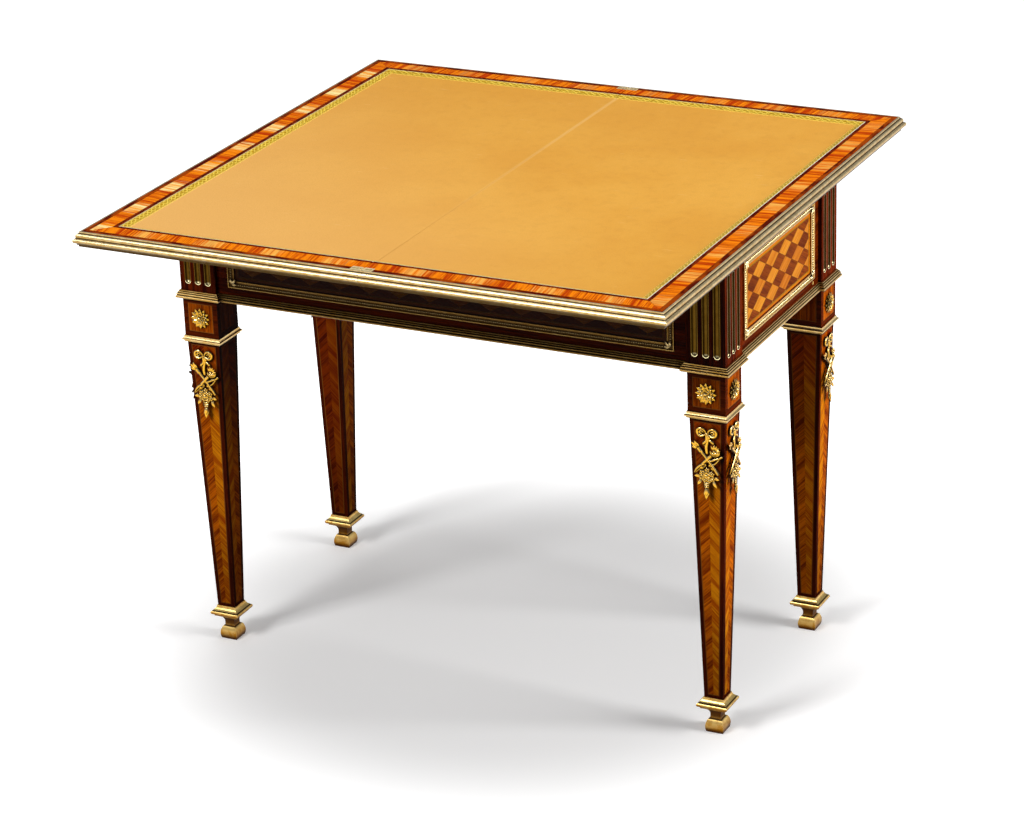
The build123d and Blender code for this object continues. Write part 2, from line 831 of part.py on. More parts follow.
def swivel_screw(gap):
    """A screw driven up through the swivel plate, head flush with the leaf's underside."""
    return Pos(0, 0, leaf_underside) * Rot(180, 0, 0) * wood_screw(plate_screw_length, gap)


def make_swivel_plate():
    """The iron plate let into the leaf's underside, with its bolt in one piece."""
    side = pivot_plate_side
    plate = Box(side, side, pivot_plate_thickness, align=(Align.CENTER, Align.CENTER, Align.MIN))
    length = pivot_plate_thickness + leaf_underside - rail_bottom + pivot_bolt_tail
    bolt = Pos(0, 0, pivot_plate_thickness - length) * round_bar(pivot_bolt_radius, length)
    whole = Pos(pivot_x, pivot_y, leaf_underside) * (plate + bolt)
    for x, y in swivel_screw_places():
        whole -= Pos(x, y, 0) * swivel_screw(screw_gap)
    peg_x, peg_y = peg_place()
    clear = round_bar(stop_peg_radius + seat_gap, pivot_plate_thickness + overrun * 2)
    return whole - Pos(peg_x, peg_y, leaf_underside - overrun) * clear


def make_bush():
    """The flanged brass bush in the pivot rail."""
    flange = round_bar(bush_flange_radius, bush_flange_thickness)
    flange = Pos(0, 0, rail_thickness - bush_flange_thickness) * flange
    bore = Pos(0, 0, -overrun) * round_bar(pivot_bolt_radius + swivel_clearance, rail_thickness + overrun * 2)
    return Pos(pivot_x, pivot_y, rail_bottom) * (round_bar(bush_radius, rail_thickness) + flange - bore)


def make_washer():
    """The washer under the pivot rail."""
    bore = Pos(0, 0, -overrun) * round_bar(pivot_bolt_radius + snug_gap, washer_thickness + overrun * 2)
    level = rail_bottom - washer_gap - washer_thickness
    return Pos(pivot_x, pivot_y, level) * (round_bar(washer_radius, washer_thickness) - bore)


def make_nut():
    """The nut that holds the top down."""
    body = extrude(RegularPolygon(nut_across_flats / 2, 6, major_radius=False), amount=nut_thickness)
    bore = Pos(0, 0, -overrun) * round_bar(pivot_bolt_radius + screw_gap, nut_thickness + overrun * 2)
    level = rail_bottom - washer_gap - washer_thickness - nut_gap - nut_thickness
    return Pos(pivot_x, pivot_y, level) * (body - bore)


def make_stop_peg():
    """The peg in the leaf's underside that runs in the pivot rail's slot."""
    peg_x, peg_y = peg_place()
    length = leaf_underside + stop_peg_socket - rail_bottom
    return Pos(peg_x, peg_y, rail_bottom) * round_bar(stop_peg_radius, length)


def make_well_board():
    """The well's bottom board, notched around the two left legs."""
    board = block(
        (-apron_inner_x, -apron_inner_y, well_floor),
        (partition_thickness, apron_inner_y, well_floor_top),
    )
    notch_x = leg_x - block_side / 2 - seat_gap
    notch_y = leg_y - block_side / 2 - seat_gap
    for side in (-1, 1):
        board -= block(
            (-apron_inner_x - overrun, min(side * notch_y, side * base_half_y), well_floor - overrun),
            (-notch_x, max(side * notch_y, side * base_half_y), well_floor_top + overrun),
        )
    return board


def make_partition():
    """The board that closes the well towards the pivot rail."""
    return block(
        (0, -apron_inner_y, well_floor_top),
        (partition_thickness, apron_inner_y, frame_top - partition_drop),
    )


def make_glue_blocks():
    """Blocks under the well board and under the ends of the pivot rail, glued to the aprons."""
    blocks = []
    side = glue_block_side
    for y in (-apron_inner_y, apron_inner_y - side):
        for x in (-leg_x + glue_block_inset, -glue_block_inset):
            blocks.append(block((x, y, well_floor - side), (x + glue_block_length, y + side, well_floor)))
        middle = pivot_x - glue_block_length / 2
        blocks.append(
            block((middle, y, rail_bottom - side), (middle + glue_block_length, y + side, rail_bottom))
        )
    half = glue_block_length / 2
    blocks.append(
        block((-apron_inner_x, -half, well_floor - side), (-apron_inner_x + side, half, well_floor))
    )
    return blocks


def make_felt_strips():
    """Strips of felt on the frame's top edge that the leaves slide and rest on."""
    strips = []
    inset = (apron_thickness - felt_width) / 2
    for sign in (-1, 1):
        outer = apron_face_y - inset
        low = min(sign * outer, sign * (outer - felt_width))
        strips.append(
            block((-span_x / 2, low, frame_top), (span_x / 2, low + felt_width, frame_top + felt_thickness))
        )
        outer = apron_face_x - inset
        low = min(sign * outer, sign * (outer - felt_width))
        strips.append(
            block((low, -span_y / 2, frame_top), (low + felt_width, span_y / 2, frame_top + felt_thickness))
        )
    return strips


def make_catch_stud():
    """The small gilt stud below the right panel, near the back leg."""
    stud = round_bar(catch_stud_radius, catch_stud_reach / 2)
    dome = Pos(0, 0, catch_stud_reach / 2) * Sphere(catch_stud_reach / 2)
    level = (bead_frame_base + frieze_moulding_height) / 2
    return Pos(span_y / 2 - catch_stud_inset, level, 0) * (stud + dome)


def build():
    os.makedirs("parts", exist_ok=True)

    for corner, leg in on_all_corners(make_leg()).items():
        save("leg_" + corner, leg)
    for corner, sabot in on_all_corners(make_sabot()).items():
        save("sabot_" + corner, sabot)
    for corner, collar in on_all_corners(make_collar()).items():
        save("leg_collar_" + corner, collar)
    for corner, moulding in on_all_corners(make_corner_moulding()).items():
        save("corner_moulding_" + corner, moulding)

    rosette = make_rosette()
    trophy = make_trophy()
    rosette_level = (collar_level - collar_drop + collar_height + frieze_bottom) / 2
    trophy_level = collar_level - trophy_top_drop
    linings = []
    rosettes = []
    trophies = []
    for lining in make_flute_linings():
        linings += on_all_corners(lining).values()
    for facing in ("right", "back"):
        rosettes += on_all_corners(leg_face(rosette_level, facing) * rosette).values()
        trophies += on_all_corners(leg_face(trophy_level, facing) * trophy).values()
    save("flute_linings", Compound(children=linings))
    save("leg_rosettes", Compound(children=rosettes))
    save("leg_trophies", Compound(children=trophies))

    housing = rail_blank(seat_gap)
    for side, (span, face) in frieze_sides.items():
        save("apron_" + side, face * make_apron(span) - housing)
        save("parquetry_panel_" + side, face * make_panel(span))
        save("bead_frame_" + side, face * make_bead_frame(span))
        save("frieze_moulding_" + side, face * make_frieze_moulding(span))
    save("catch_stud", frieze_sides["right"][1] * make_catch_stud())

    save("well_board", make_well_board())
    save("well_partition", make_partition())
    save("glue_blocks", Compound(children=make_glue_blocks()))
    save("felt_strips", Compound(children=make_felt_strips()))
    save("pivot_rail", make_pivot_rail())
    save("pivot_bush", make_bush())

    core = make_leaf_core()
    banding = [house_hinges(strip) for strip in make_banding()]
    leather = make_leather()
    moulding = make_leaf_moulding()
    plate = make_hinge_plate()
    plates = [Pos(0, y, 0) * plate for y in hinge_places()]
    screws = [Pos(x, y, open_height) * wood_screw(screw_length, 0) for x, y in hinge_screw_places()]

    save("flap_core", mirror(core, about=Plane.YZ))
    save("flap_banding", Compound(children=[mirror(strip, about=Plane.YZ) for strip in banding]))
    save("flap_leather", Compound(children=[mirror(piece, about=Plane.YZ) for piece in leather]))
    save("flap_moulding", Compound(children=[mirror(length, about=Plane.YZ) for length in moulding]))
    save("flap_hinge_plates", Compound(children=[mirror(one, about=Plane.YZ) for one in plates]))
    save("flap_screws", Compound(children=[mirror(screw, about=Plane.YZ) for screw in screws]))

    room_side = pivot_plate_side + seat_gap * 2
    plate_room = Box(room_side, room_side, (pivot_plate_thickness + seat_gap) * 2)
    core -= Pos(pivot_x, pivot_y, leaf_underside) * plate_room
    peg_x, peg_y = peg_place()
    core -= Pos(peg_x, peg_y, leaf_underside) * round_bar(stop_peg_radius + snug_gap, stop_peg_socket)
    swivel_screws = []
    for x, y in swivel_screw_places():
        core -= Pos(x, y, 0) * swivel_screw(screw_gap)
        swivel_screws.append(Pos(x, y, 0) * swivel_screw(0))
    save("leaf_core", core)
    save("leaf_banding", Compound(children=banding))
    save("leaf_leather", Compound(children=leather))
    save("leaf_moulding", Compound(children=moulding))
    save("leaf_hinge_plates", Compound(children=plates))
    save("leaf_screws", Compound(children=screws + swivel_screws))
    save("pivot_bolt", make_swivel_plate())
    save("pivot_washer", make_washer())
    save("pivot_nut", make_nut())
    save("stop_peg", make_stop_peg())

    link = make_hinge_link()
    pin = Cylinder(hinge_pin_radius, hinge_plate_width - pin_end_gap * 2, rotation=(90, 0, 0))
    save("hinge_links", Compound(children=[Pos(0, y, 0) * link for y in hinge_places()]))
    pins = [Pos(side * fold_axis_x, y, fold_axis_z) * pin for y in hinge_places() for side in (-1, 1)]
    save("hinge_pins", Compound(children=pins))


build()
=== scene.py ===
import math

import bpy
from mathutils import Matrix, Vector


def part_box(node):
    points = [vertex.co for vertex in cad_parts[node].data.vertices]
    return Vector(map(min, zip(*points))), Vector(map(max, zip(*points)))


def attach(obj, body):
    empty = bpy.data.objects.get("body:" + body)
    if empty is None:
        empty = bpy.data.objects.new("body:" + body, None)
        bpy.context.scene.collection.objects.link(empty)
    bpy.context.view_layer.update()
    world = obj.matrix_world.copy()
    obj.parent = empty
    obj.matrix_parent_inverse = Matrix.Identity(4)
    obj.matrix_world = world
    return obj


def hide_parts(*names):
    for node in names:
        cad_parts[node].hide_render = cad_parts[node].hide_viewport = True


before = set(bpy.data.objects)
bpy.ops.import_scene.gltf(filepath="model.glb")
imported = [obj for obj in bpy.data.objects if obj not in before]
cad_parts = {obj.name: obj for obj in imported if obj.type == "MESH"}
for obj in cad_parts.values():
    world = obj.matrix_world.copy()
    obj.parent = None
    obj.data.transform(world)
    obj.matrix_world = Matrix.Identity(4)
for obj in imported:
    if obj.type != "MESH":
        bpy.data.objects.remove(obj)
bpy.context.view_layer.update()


# Legs
# Each leg is one length of oak, veneered: a dark fluted block at the frieze, a block for the
# rosettes in a crossbanded panel, and a square tapered shaft in tulipwood chevrons that meet on
# a centre line between dark edge bands. The whole is french polished.

mm = 0.001


class Flow:
    """A number that changes over a surface, so that sums of nodes read as plain sums."""

    def __init__(self, socket):
        self.socket = socket

    def __abs__(self):
        return calc("ABSOLUTE", self)

    def __gt__(self, other):
        return calc("GREATER_THAN", self, other)

    def __lt__(self, other):
        return calc("LESS_THAN", self, other)

    def ease(self, low, high):
        """0 at low, 1 at high, and soft between them."""
        limits = {"Value": self, "From Min": low, "From Max": high}
        return Flow(node(self.socket.id_data, "MapRange", limits, interpolation_type="SMOOTHSTEP").outputs[0])


for sign, sum_of in (("add", "ADD"), ("sub", "SUBTRACT"), ("mul", "MULTIPLY"), ("truediv", "DIVIDE")):
    setattr(Flow, f"__{sign}__", lambda left, right, does=sum_of: calc(does, left, right))
    setattr(Flow, f"__r{sign}__", lambda right, left, does=sum_of: calc(does, left, right))


def plain(value):
    return value.socket if isinstance(value, Flow) else value


def tree_of(*values):
    """The node tree that the first socket among some values is in."""
    return next(plain(v).id_data for v in values if isinstance(plain(v), bpy.types.NodeSocket))


def node(tree, kind, inputs=None, **settings):
    """Adds one node. An input is a value, what another node puts out, or a colour as a screen
    shows it, in three numbers up to 255."""
    made = tree.nodes.new("ShaderNode" + kind)
    for name, value in settings.items():
        setattr(made, name, value)
    for name, value in (inputs or {}).items():
        value, socket = plain(value), made.inputs[name]
        if isinstance(value, bpy.types.NodeSocket):
            tree.links.new(value, socket)
        elif socket.type == "RGBA" and len(value) == 3:
            socket.default_value = [(part / 255) ** 2.2 for part in value] + [1.0]
        else:
            socket.default_value = value
    return made


def calc(operation, *values):
    return Flow(node(tree_of(*values), "Math", dict(enumerate(values)), operation=operation).outputs[0])


def least(first, second):
    return calc("MINIMUM", first, second)


def line_at(value, place, half_width):
    """1 on a line of that half width where a value passes a place, and 0 off it."""
    return 1 - abs(value - place).ease(half_width * 0.6, half_width * 1.4)


def short_of(value, place, blur=0.2 * mm):
    """1 where a value is less than a place, and 0 past it, soft over a blur on either side."""
    return 1 - value.ease(place - blur, place + blur)


def mixed(share, first, second, mode="MIX"):
    """The first colour, with a share of the second laid over it."""
    inputs = {0: share, 6: first, 7: second}
    return node(tree_of(share, first, second), "Mix", inputs, data_type="RGBA", blend_type=mode).outputs[2]


def layered(colour, *layers):
    """A colour with others laid over it in turn, each given as its share and its tone."""
    for share, over in layers:
        colour = mixed(share, colour, over)
    return colour


def place(x, y, z):
    return node(tree_of(x, y, z), "CombineXYZ", {0: x, 1: y, 2: z}).outputs[0]


def noise(vector, scale, detail=3.0, roughness=0.5, distortion=0.0):
    inputs = {"Vector": vector, "Scale": scale, "Detail": detail, "Roughness": roughness}
    return Flow(node(tree_of(vector), "TexNoise", inputs | {"Distortion": distortion}).outputs["Fac"])


def shut_in(tree, reach, samples, **settings):
    """How far the light is kept off a place by what stands within reach of it."""
    made = node(tree, "AmbientOcclusion", {"Distance": reach}, samples=samples, **settings)
    return 1 - Flow(made.outputs["AO"])


def edges(tree, radius):
    """1 along the edges of a piece, and 0 on its faces."""
    rounded = node(tree, "Bevel", {"Radius": radius}, samples=4).outputs[0]
    flat = node(tree, "NewGeometry").outputs["Normal"]
    square = node(tree, "VectorMath", {0: rounded, 1: flat}, operation="DOT_PRODUCT").outputs["Value"]
    return (1 - Flow(square)).ease(0.02, 0.2)


def parts_of(vector):
    return [Flow(part) for part in node(vector.id_data, "SeparateXYZ", {0: vector}).outputs]


def where(tree):
    """The place on the table, in metres, as three numbers."""
    return parts_of(node(tree, "TexCoord").outputs["Object"])


def facing(tree):
    """The way that the surface faces, as three numbers."""
    return parts_of(node(tree, "TexCoord").outputs["Normal"])


def group(name, takes, gives):
    """A shader node group to be filled in, with inputs and outputs of these names and values."""
    tree = bpy.data.node_groups.new(name, "ShaderNodeTree")
    for in_out, sockets in (("INPUT", takes), ("OUTPUT", gives)):
        for label, value in sockets.items():
            kind = "Float" if isinstance(value, float) else {3: "Vector", 4: "Color"}[len(value)]
            socket = tree.interface.new_socket(label, in_out=in_out, socket_type="NodeSocket" + kind)
            socket.default_value = value
    return tree, tree.nodes.new("NodeGroupInput").outputs, tree.nodes.new("NodeGroupOutput").inputs


def material(name, **shine):
    """A new material, with what is the same all over set on the shader itself."""
    made = bpy.data.materials.new(name)
    made.use_nodes = True
    skin = made.node_tree.nodes["Principled BSDF"]
    for label, value in shine.items():
        skin.inputs[label.replace("_", " ")].default_value = value
    return made, made.node_tree, skin


def coat_with(skin, colour, roughness, height, depth):
    """Feeds a shader its colour and roughness, and a relief of that depth in metres."""
    tree = skin.id_data
    tree.links.new(plain(colour), skin.inputs["Base Color"])
    tree.links.new(plain(roughness), skin.inputs["Roughness"])
    bump = node(tree, "Bump", {"Height": height, "Distance": depth})
    tree.links.new(bump.outputs[0], skin.inputs["Normal"])


def dress(made, *names):
    for name in names:
        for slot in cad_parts[name].material_slots:
            slot.material = made


# How sawn and polished wood looks: broad streaks, fine fibres and short dark pores.
black = (0.0, 0.0, 0.0, 1.0)
wood_figure, takes, gives = group(
    "wood figure",
    {"Place": (0.0, 0.0, 0.0), "Light": black, "Dark": black, "Streak": 1.0, "Contrast": 1.0},
    {"Colour": black, "Fibre": 0.0},
)
scaled = {0: takes["Place"], "Scale": 1.0 / Flow(takes["Streak"])}
in_streaks = node(wood_figure, "VectorMath", scaled, operation="SCALE").outputs[0]
drawn_out, ticks = (
    node(wood_figure, "VectorMath", {0: in_streaks, 1: (length, 1.0, 1.0)}, operation="MULTIPLY").outputs[0]
    for length in (0.035, 0.16)
)
broad = noise(drawn_out, 0.3, 3.0)
fibre = noise(drawn_out, 1.5, 5.0, 0.65)
figure = ((broad * 0.45 + fibre * 0.55 - 0.5) * Flow(takes["Contrast"]) * 3.1 + 0.5).ease(0.0, 1.0)
pores = noise(ticks, 4.0, 2.0).ease(0.6, 0.72)
colour = mixed(figure, takes["Dark"], takes["Light"])
colour = mixed(pores * 0.45, colour, takes["Dark"], "MULTIPLY")
wood_figure.links.new(colour, gives["Colour"])
wood_figure.links.new(fibre.socket, gives["Fibre"])

# What years of use leave: grime in the inner corners, and edges rubbed lighter.
age, takes, gives = group(
    "age",
    {"Colour": black, "Grime": black, "Rubbed": black, "Reach": 0.0, "Grime share": 0.0, "Rubbed share": 0.0},
    {"Colour": black, "Dullness": 0.0},
)
spot = place(*where(age))
blotch = noise(spot, 55.0, 4.0, 0.6)
grime = shut_in(age, takes["Reach"], 5).ease(0.2, 0.85) * (blotch * 0.8 + 0.45)
edge = edges(age, 0.9 * mm) * noise(spot, 240.0, 3.0, 0.6).ease(0.4, 0.62)
colour = mixed(edge * Flow(takes["Rubbed share"]), takes["Colour"], takes["Rubbed"])
colour = mixed(least(grime * Flow(takes["Grime share"]), 1.0), colour, takes["Grime"])
age.links.new(colour, gives["Colour"])
age.links.new(grime.socket, gives["Dullness"])


def wood(tree, spot, light, dark, streak=4 * mm, contrast=1.0):
    """Places the wood figure and gives its colour and fibre."""
    inputs = {"Place": spot, "Light": light, "Dark": dark, "Streak": streak, "Contrast": contrast}
    made = node(tree, "Group", inputs, node_tree=wood_figure)
    return made.outputs["Colour"], Flow(made.outputs["Fibre"])


def aged(tree, colour, grime, rubbed, reach=6 * mm, grime_share=0.7, rubbed_share=0.4):
    """Places the age group and gives its colour and dullness."""
    inputs = {"Colour": colour, "Grime": grime, "Rubbed": rubbed, "Reach": reach}
    shares = {"Grime share": grime_share, "Rubbed share": rubbed_share}
    made = node(tree, "Group", inputs | shares, node_tree=age)
    return made.outputs["Colour"], Flow(made.outputs["Dullness"])


def shade_under_top(tree):
    """1 where a face stands deep under something broad, such as the table's top, and 0 in the open; it sets
    where shade is painted under the top.
    """
    return shut_in(tree, 300 * mm, 12).ease(0.05, 0.26)


corners = [f"{end}_{side}" for end in ("front", "back") for side in ("left", "right")]
leg_low, leg_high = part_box("leg_front_right")
leg_x = (leg_low.x + leg_high.x) / 2
leg_y = -(leg_low.y + leg_high.y) / 2
block_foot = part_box("corner_moulding_front_right")[0].z
collar_foot, collar_top = (corner.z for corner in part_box("leg_collar_front_right"))
shoe_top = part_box("sabot_front_right")[1].z
block_half = 29 * mm
shaft_top_half, shaft_foot_half = 27.2 * mm, 14.7 * mm
shaft_band, shaft_line = 6.6 * mm, 0.7 * mm
panel_band = 8.5 * mm

leg_polish = {"Specular_IOR_Level": 0.0, "Coat_Weight": 0.02, "Coat_Roughness": 0.12}
leg_veneer, tree, skin = material("leg veneer", **leg_polish)
x, y, z = where(tree)
facing_x, facing_y = facing(tree)[:2]
on_side = abs(facing_x) > abs(facing_y)
sign_x, sign_y = calc("SIGN", x), calc("SIGN", y)
off_x, off_y = x - sign_x * leg_x, y - sign_y * leg_y
across = off_y * on_side + off_x * (1 - on_side)
# Each face is one veneer: the half on one side of the centre line is painted lighter, as a sheen where it
# catches the light, and the other half darker.
sheen_half = (off_x * (1 - on_side) - off_y * on_side) > 0
number = sign_x * 3.1 + sign_y * 7.7 + on_side * 5.3

half = shaft_foot_half + (z - shoe_top) * ((shaft_top_half - shaft_foot_half) / (collar_foot - shoe_top))
from_edge = least(half - abs(across), least(collar_foot - z, z - shoe_top) + 1.2 * mm)
chevron = place((z - abs(across)) * 0.7, (z + abs(across)) * 0.7, number + sheen_half * 2.2)
light, fibre = wood(tree, chevron, (255, 156, 24), (192, 84, 6), 2.8 * mm, 1.5)
dark = wood(tree, chevron, (240, 122, 18), (140, 52, 3), 2.8 * mm, 1.5)[0]
shaft = mixed(sheen_half, dark, light)
patch = noise(place(z * 9, number, sheen_half), 1.0, 2.0).ease(0.35, 0.7)
shaft = mixed(patch * 0.3, shaft, (190, 120, 60), "MULTIPLY")
# Painted shade: faces that look in towards the middle are darkened; those looking along Y are darkened
# strongly on the left legs and only slightly on the right ones.
shade_on_inner_x_faces = sign_x * facing_x < -0.5
shade_on_inner_y_faces = sign_y * facing_y < -0.5
shaft = mixed(shade_on_inner_y_faces * (0.9 - (x > 0) * 0.75), shaft, (146, 100, 88), "MULTIPLY")
# Painted shade: the upper shaft is darker and redder, as in the shadow of the top's overhang.
overhang_shade = z.ease(collar_foot - 130 * mm, collar_foot - 10 * mm)
shaft = mixed(overhang_shade * 0.75, shaft, (220, 150, 110), "MULTIPLY")
band = wood(tree, place(z, across, number), (104, 36, 6), (44, 13, 2), 2.2 * mm)[0]
in_line = line_at(from_edge, shaft_band, shaft_line)
shaft = layered(shaft, (short_of(from_edge, shaft_band), band), (in_line * 0.8, (150, 92, 40)))

block_level = (collar_top + block_foot) / 2
up = z - block_level
from_block_edge = least(block_half - abs(across), (block_foot - collar_top) / 2 - abs(up))
panel = wood(tree, place(up, across, number), (228, 110, 18), (140, 54, 6), 2.8 * mm, 1.4)[0]
crossband = wood(tree, place(across, up, number), (130, 50, 9), (64, 22, 3), 2 * mm)[0]
rosette_part = layered(
    panel,
    (short_of(from_block_edge, panel_band), crossband),
    (line_at(from_block_edge, panel_band, 0.6 * mm) * 0.8, (168, 104, 48)),
)

block = wood(tree, place(z, off_x + off_y, number), (140, 50, 8), (62, 18, 2), 3.2 * mm, 1.4)[0]
over_collar = z > (collar_foot + collar_top) / 2
over_moulding = z > block_foot + 4 * mm
colour = layered(
    shaft,
    (over_collar, rosette_part),
    (over_moulding, block),
    # Painted shade on faces that look in towards the middle along X, and deep under the top.
    (shade_on_inner_x_faces * 0.65, (30, 11, 4)),
    (shade_under_top(tree) * 0.45, (24, 8, 2)),
)
colour, dullness = aged(tree, colour, (18, 7, 3), (176, 96, 36), 6 * mm, 0.8, 0.25)
coat_with(skin, colour, 0.26 + fibre * 0.12 + dullness * 0.3, fibre, 0.12 * mm)
dress(leg_veneer, *[f"leg_{corner}" for corner in corners])


# Shoes
# Cast brass shoes that the feet of the legs stand in: a moulded cap, a step, a hollow neck and a
# square pad, gilt and then worn, darker in the hollows, and painted darker towards the floor as shade.

# How old gilt brass looks: bright on rubbed edges, mottled on faces and dark brown in the grooves, with what
# faces up painted bright as a highlight and what faces down painted dark as shade.
old_brass, takes, gives = group(
    "old brass",
    {"Bright": black, "Middle": black, "Deep": black, "Reach": 4 * mm, "Mottle": 90.0, "Rough": 0.27},
    {"Colour": black, "Roughness": 0.0, "Relief": 0.0},
)
spot = place(*where(old_brass))
facing_up = facing(old_brass)[2]
tarnish = noise(spot, takes["Mottle"], 5.0, 0.62)
grain = noise(spot, 900.0, 3.0, 0.6)
groove = shut_in(old_brass, takes["Reach"], 6, only_local=True).ease(0.22, 0.66) * (tarnish * 0.5 + 0.75)
# Painted shade: what faces down is laid with the deep tone.
under = (0 - facing_up).ease(-0.25, 0.8) * 0.8
edge = edges(old_brass, 0.7 * mm)
worn = tarnish.ease(0.4, 0.6)
# Rubbed edges and random wear are bright, and what faces up is painted bright as a highlight.
wear_and_highlight = worn * 0.22 + edge * 0.6 + facing_up.ease(-0.1, 0.9) * 0.55
colour = mixed(least(wear_and_highlight, 1.0), takes["Middle"], takes["Bright"])
colour = mixed(grain.ease(0.62, 0.74) * 0.25, colour, takes["Deep"])
colour = mixed(least(groove + under, 1.0), colour, takes["Deep"])
old_brass.links.new(colour, gives["Colour"])
roughness = Flow(takes["Rough"]) + tarnish * 0.1 + groove * 0.35 - edge * 0.06
old_brass.links.new(roughness.socket, gives["Roughness"])
old_brass.links.new((grain * 0.5 + tarnish).socket, gives["Relief"])


def brass(name, bright, middle, deep, reach=4 * mm, mottle=90.0, depth=0.05 * mm, rough=0.27, grooves=(),
          shade_below=0.0, crest=None, top_shade_share=0.0, lit_from_above=0.0):
    """A brass in its own tones, from the old brass group. Each groove is a level that grime has
    kept to, with its half width; below a level the whole is painted darker, as shade. A piece
    with its crests marked is painted dark between them, as shade; one given a share of shade
    under the top is painted dark there; and one lit from above keeps its bright tone, a painted
    highlight, only for what faces up, and takes its deep tone, as painted shade, where it faces down."""
    made, tree, skin = material(name, Metallic=1.0)
    tones = {"Bright": bright, "Middle": middle, "Deep": deep}
    inputs = tones | {"Reach": reach, "Mottle": mottle, "Rough": rough}
    look = node(tree, "Group", inputs, node_tree=old_brass).outputs
    colour = look["Colour"]
    x, y, z = where(tree)
    # Painted shade below the given level; then grime along each groove.
    dirt_and_shade = 0.9 - z.ease(shade_below - 4 * mm, shade_below + 3 * mm) * 0.9
    for level, half_width in grooves:
        dirt_and_shade = calc("MAXIMUM", dirt_and_shade, line_at(z, level, half_width) * 0.9)
    # Painted shade between the crests.
    if crest:
        mark = Flow(node(tree, "Attribute", attribute_name="crest").outputs["Fac"])
        broken = (noise(place(x, y, z), 500.0, 2.0) - 0.5) * 0.3
        dirt_and_shade = calc("MAXIMUM", dirt_and_shade, 0.95 - (mark + broken).ease(*crest) * 0.95)
    # Painted light: the bright tone kept only for what faces up, as a highlight, and the deep tone where it
    # faces down, as shade.
    if lit_from_above:
        up = facing(tree)[2]
        colour = mixed((1 - up.ease(0.0, 0.5)) * lit_from_above, colour, middle)
        dirt_and_shade = calc("MAXIMUM", dirt_and_shade, (0 - up).ease(0.0, 0.45) * lit_from_above)
    # Painted shade under the top.
    if top_shade_share:
        dirt_and_shade = calc("MAXIMUM", dirt_and_shade, shade_under_top(tree) * top_shade_share)
    coat_with(skin, mixed(dirt_and_shade, colour, deep), Flow(look["Roughness"]) + dirt_and_shade * 0.2, look["Relief"], depth)
    return made


shoe_grooves = [(31 * mm, 9 * mm), (48.6 * mm, 0.6 * mm), (42 * mm, 0.9 * mm), (20.6 * mm, 0.7 * mm)]
shoe_tones = (255, 230, 150), (172, 114, 28), (66, 32, 5)
# Painted shade towards the floor, below 6 mm.
shoe_brass = brass("shoe brass", *shoe_tones, 6 * mm, grooves=shoe_grooves, shade_below=6 * mm)
dress(shoe_brass, *[f"sabot_{corner}" for corner in corners])


# Collars
# Square brass rings, filed with a small moulding, slipped up each shaft under the rosette block.

collar_brass = brass("collar brass", (248, 228, 172), (190, 148, 78), (48, 28, 5), 5 * mm)
dress(collar_brass, *[f"leg_collar_{corner}" for corner in corners])


# Aprons
# Four boards tenoned between the legs, faced in dark red-brown veneer with the grain running
# along them. Each is sunk for a parquetry panel.

lengthwise = {"x": ("front", "back"), "y": ("left", "right")}
for axis, sides in lengthwise.items():
    apron_veneer, tree, skin = material(f"apron veneer {axis}", **leg_polish)
    x, y, z = where(tree)
    along, off = (x, y) if axis == "x" else (y, x)
    colour, fibre = wood(tree, place(along, z, off), (128, 48, 9), (56, 17, 2), 3.4 * mm, 1.2)
    colour, dullness = aged(tree, colour, (18, 7, 4), (180, 110, 60), 6 * mm)
    coat_with(skin, colour, 0.28 + fibre * 0.14 + dullness * 0.3, fibre, 0.1 * mm)
    dress(apron_veneer, *[f"apron_{side}" for side in sides])


# Parquetry panels
# Thin panels of lozenges, light and brown by turns with the grain crossed, inside an orange band
# and a dark border, glued down in the pockets of the aprons.

def set_mode(mode):
    bpy.ops.object.mode_set(mode=mode)


def nothing_selected():
    if bpy.context.object and bpy.context.object.mode != "OBJECT":
        set_mode("OBJECT")
    bpy.ops.object.select_all(action="DESELECT")


def added(add, **settings):
    """The new object that one of Blender's add operators makes."""
    nothing_selected()
    add(**settings)
    return bpy.context.object


def take_up(*pieces):
    """Selects these pieces and no others, with the first one active."""
    nothing_selected()
    for piece in pieces:
        piece.select_set(True)
    bpy.context.view_layer.objects.active = pieces[0]


def joined(parts, name):
    """Several objects as one mesh, with its doubles merged and its normals outward."""
    take_up(*parts)
    bpy.ops.object.join()
    whole = bpy.context.object
    whole.name = whole.data.name = name
    set_mode("EDIT")
    bpy.ops.mesh.select_all(action="SELECT")
    bpy.ops.mesh.remove_doubles(threshold=0.002 * mm)
    bpy.ops.mesh.normals_make_consistent(inside=False)
    set_mode("OBJECT")
    return whole


def modified(piece, kind, **settings):
    """Adds one modifier to a piece and applies it."""
    take_up(piece)
    made = piece.modifiers.new(kind.lower(), kind)
    for name, value in settings.items():
        setattr(made, name, value)
    bpy.ops.object.modifier_apply(modifier=made.name)
    return piece


def moved(piece, matrix):
    """Moves a piece's mesh, and leaves the object at the origin."""
    piece.data.transform(matrix)
    piece.data.update()
    return piece


def turned(angle, x=0.0, y=0.0, z=0.0):
    """A turn about Z and then a shift, as one matrix."""
    return Matrix.Translation((x, y, z)) @ Matrix.Rotation(angle, 4, "Z")


def crested(piece, height):
    """Marks how far each point of a piece that lies on Z=0 stands out and faces outward."""
    marks = piece.data.attributes.new("crest", "FLOAT", "POINT")
    for vertex, mark in zip(piece.data.vertices, marks.data):
        mark.value = vertex.normal.z * 0.6 + vertex.co.z / height * 0.4
    return piece


def smooth(piece, degrees):
    take_up(piece)
    bpy.ops.object.shade_smooth_by_angle(angle=math.radians(degrees))
    return piece


def copy_of(piece, matrix):
    """A copy with its own mesh, moved by a matrix."""
    twin = piece.copy()
    twin.data = piece.data.copy()
    bpy.context.collection.objects.link(twin)
    return moved(twin, matrix)


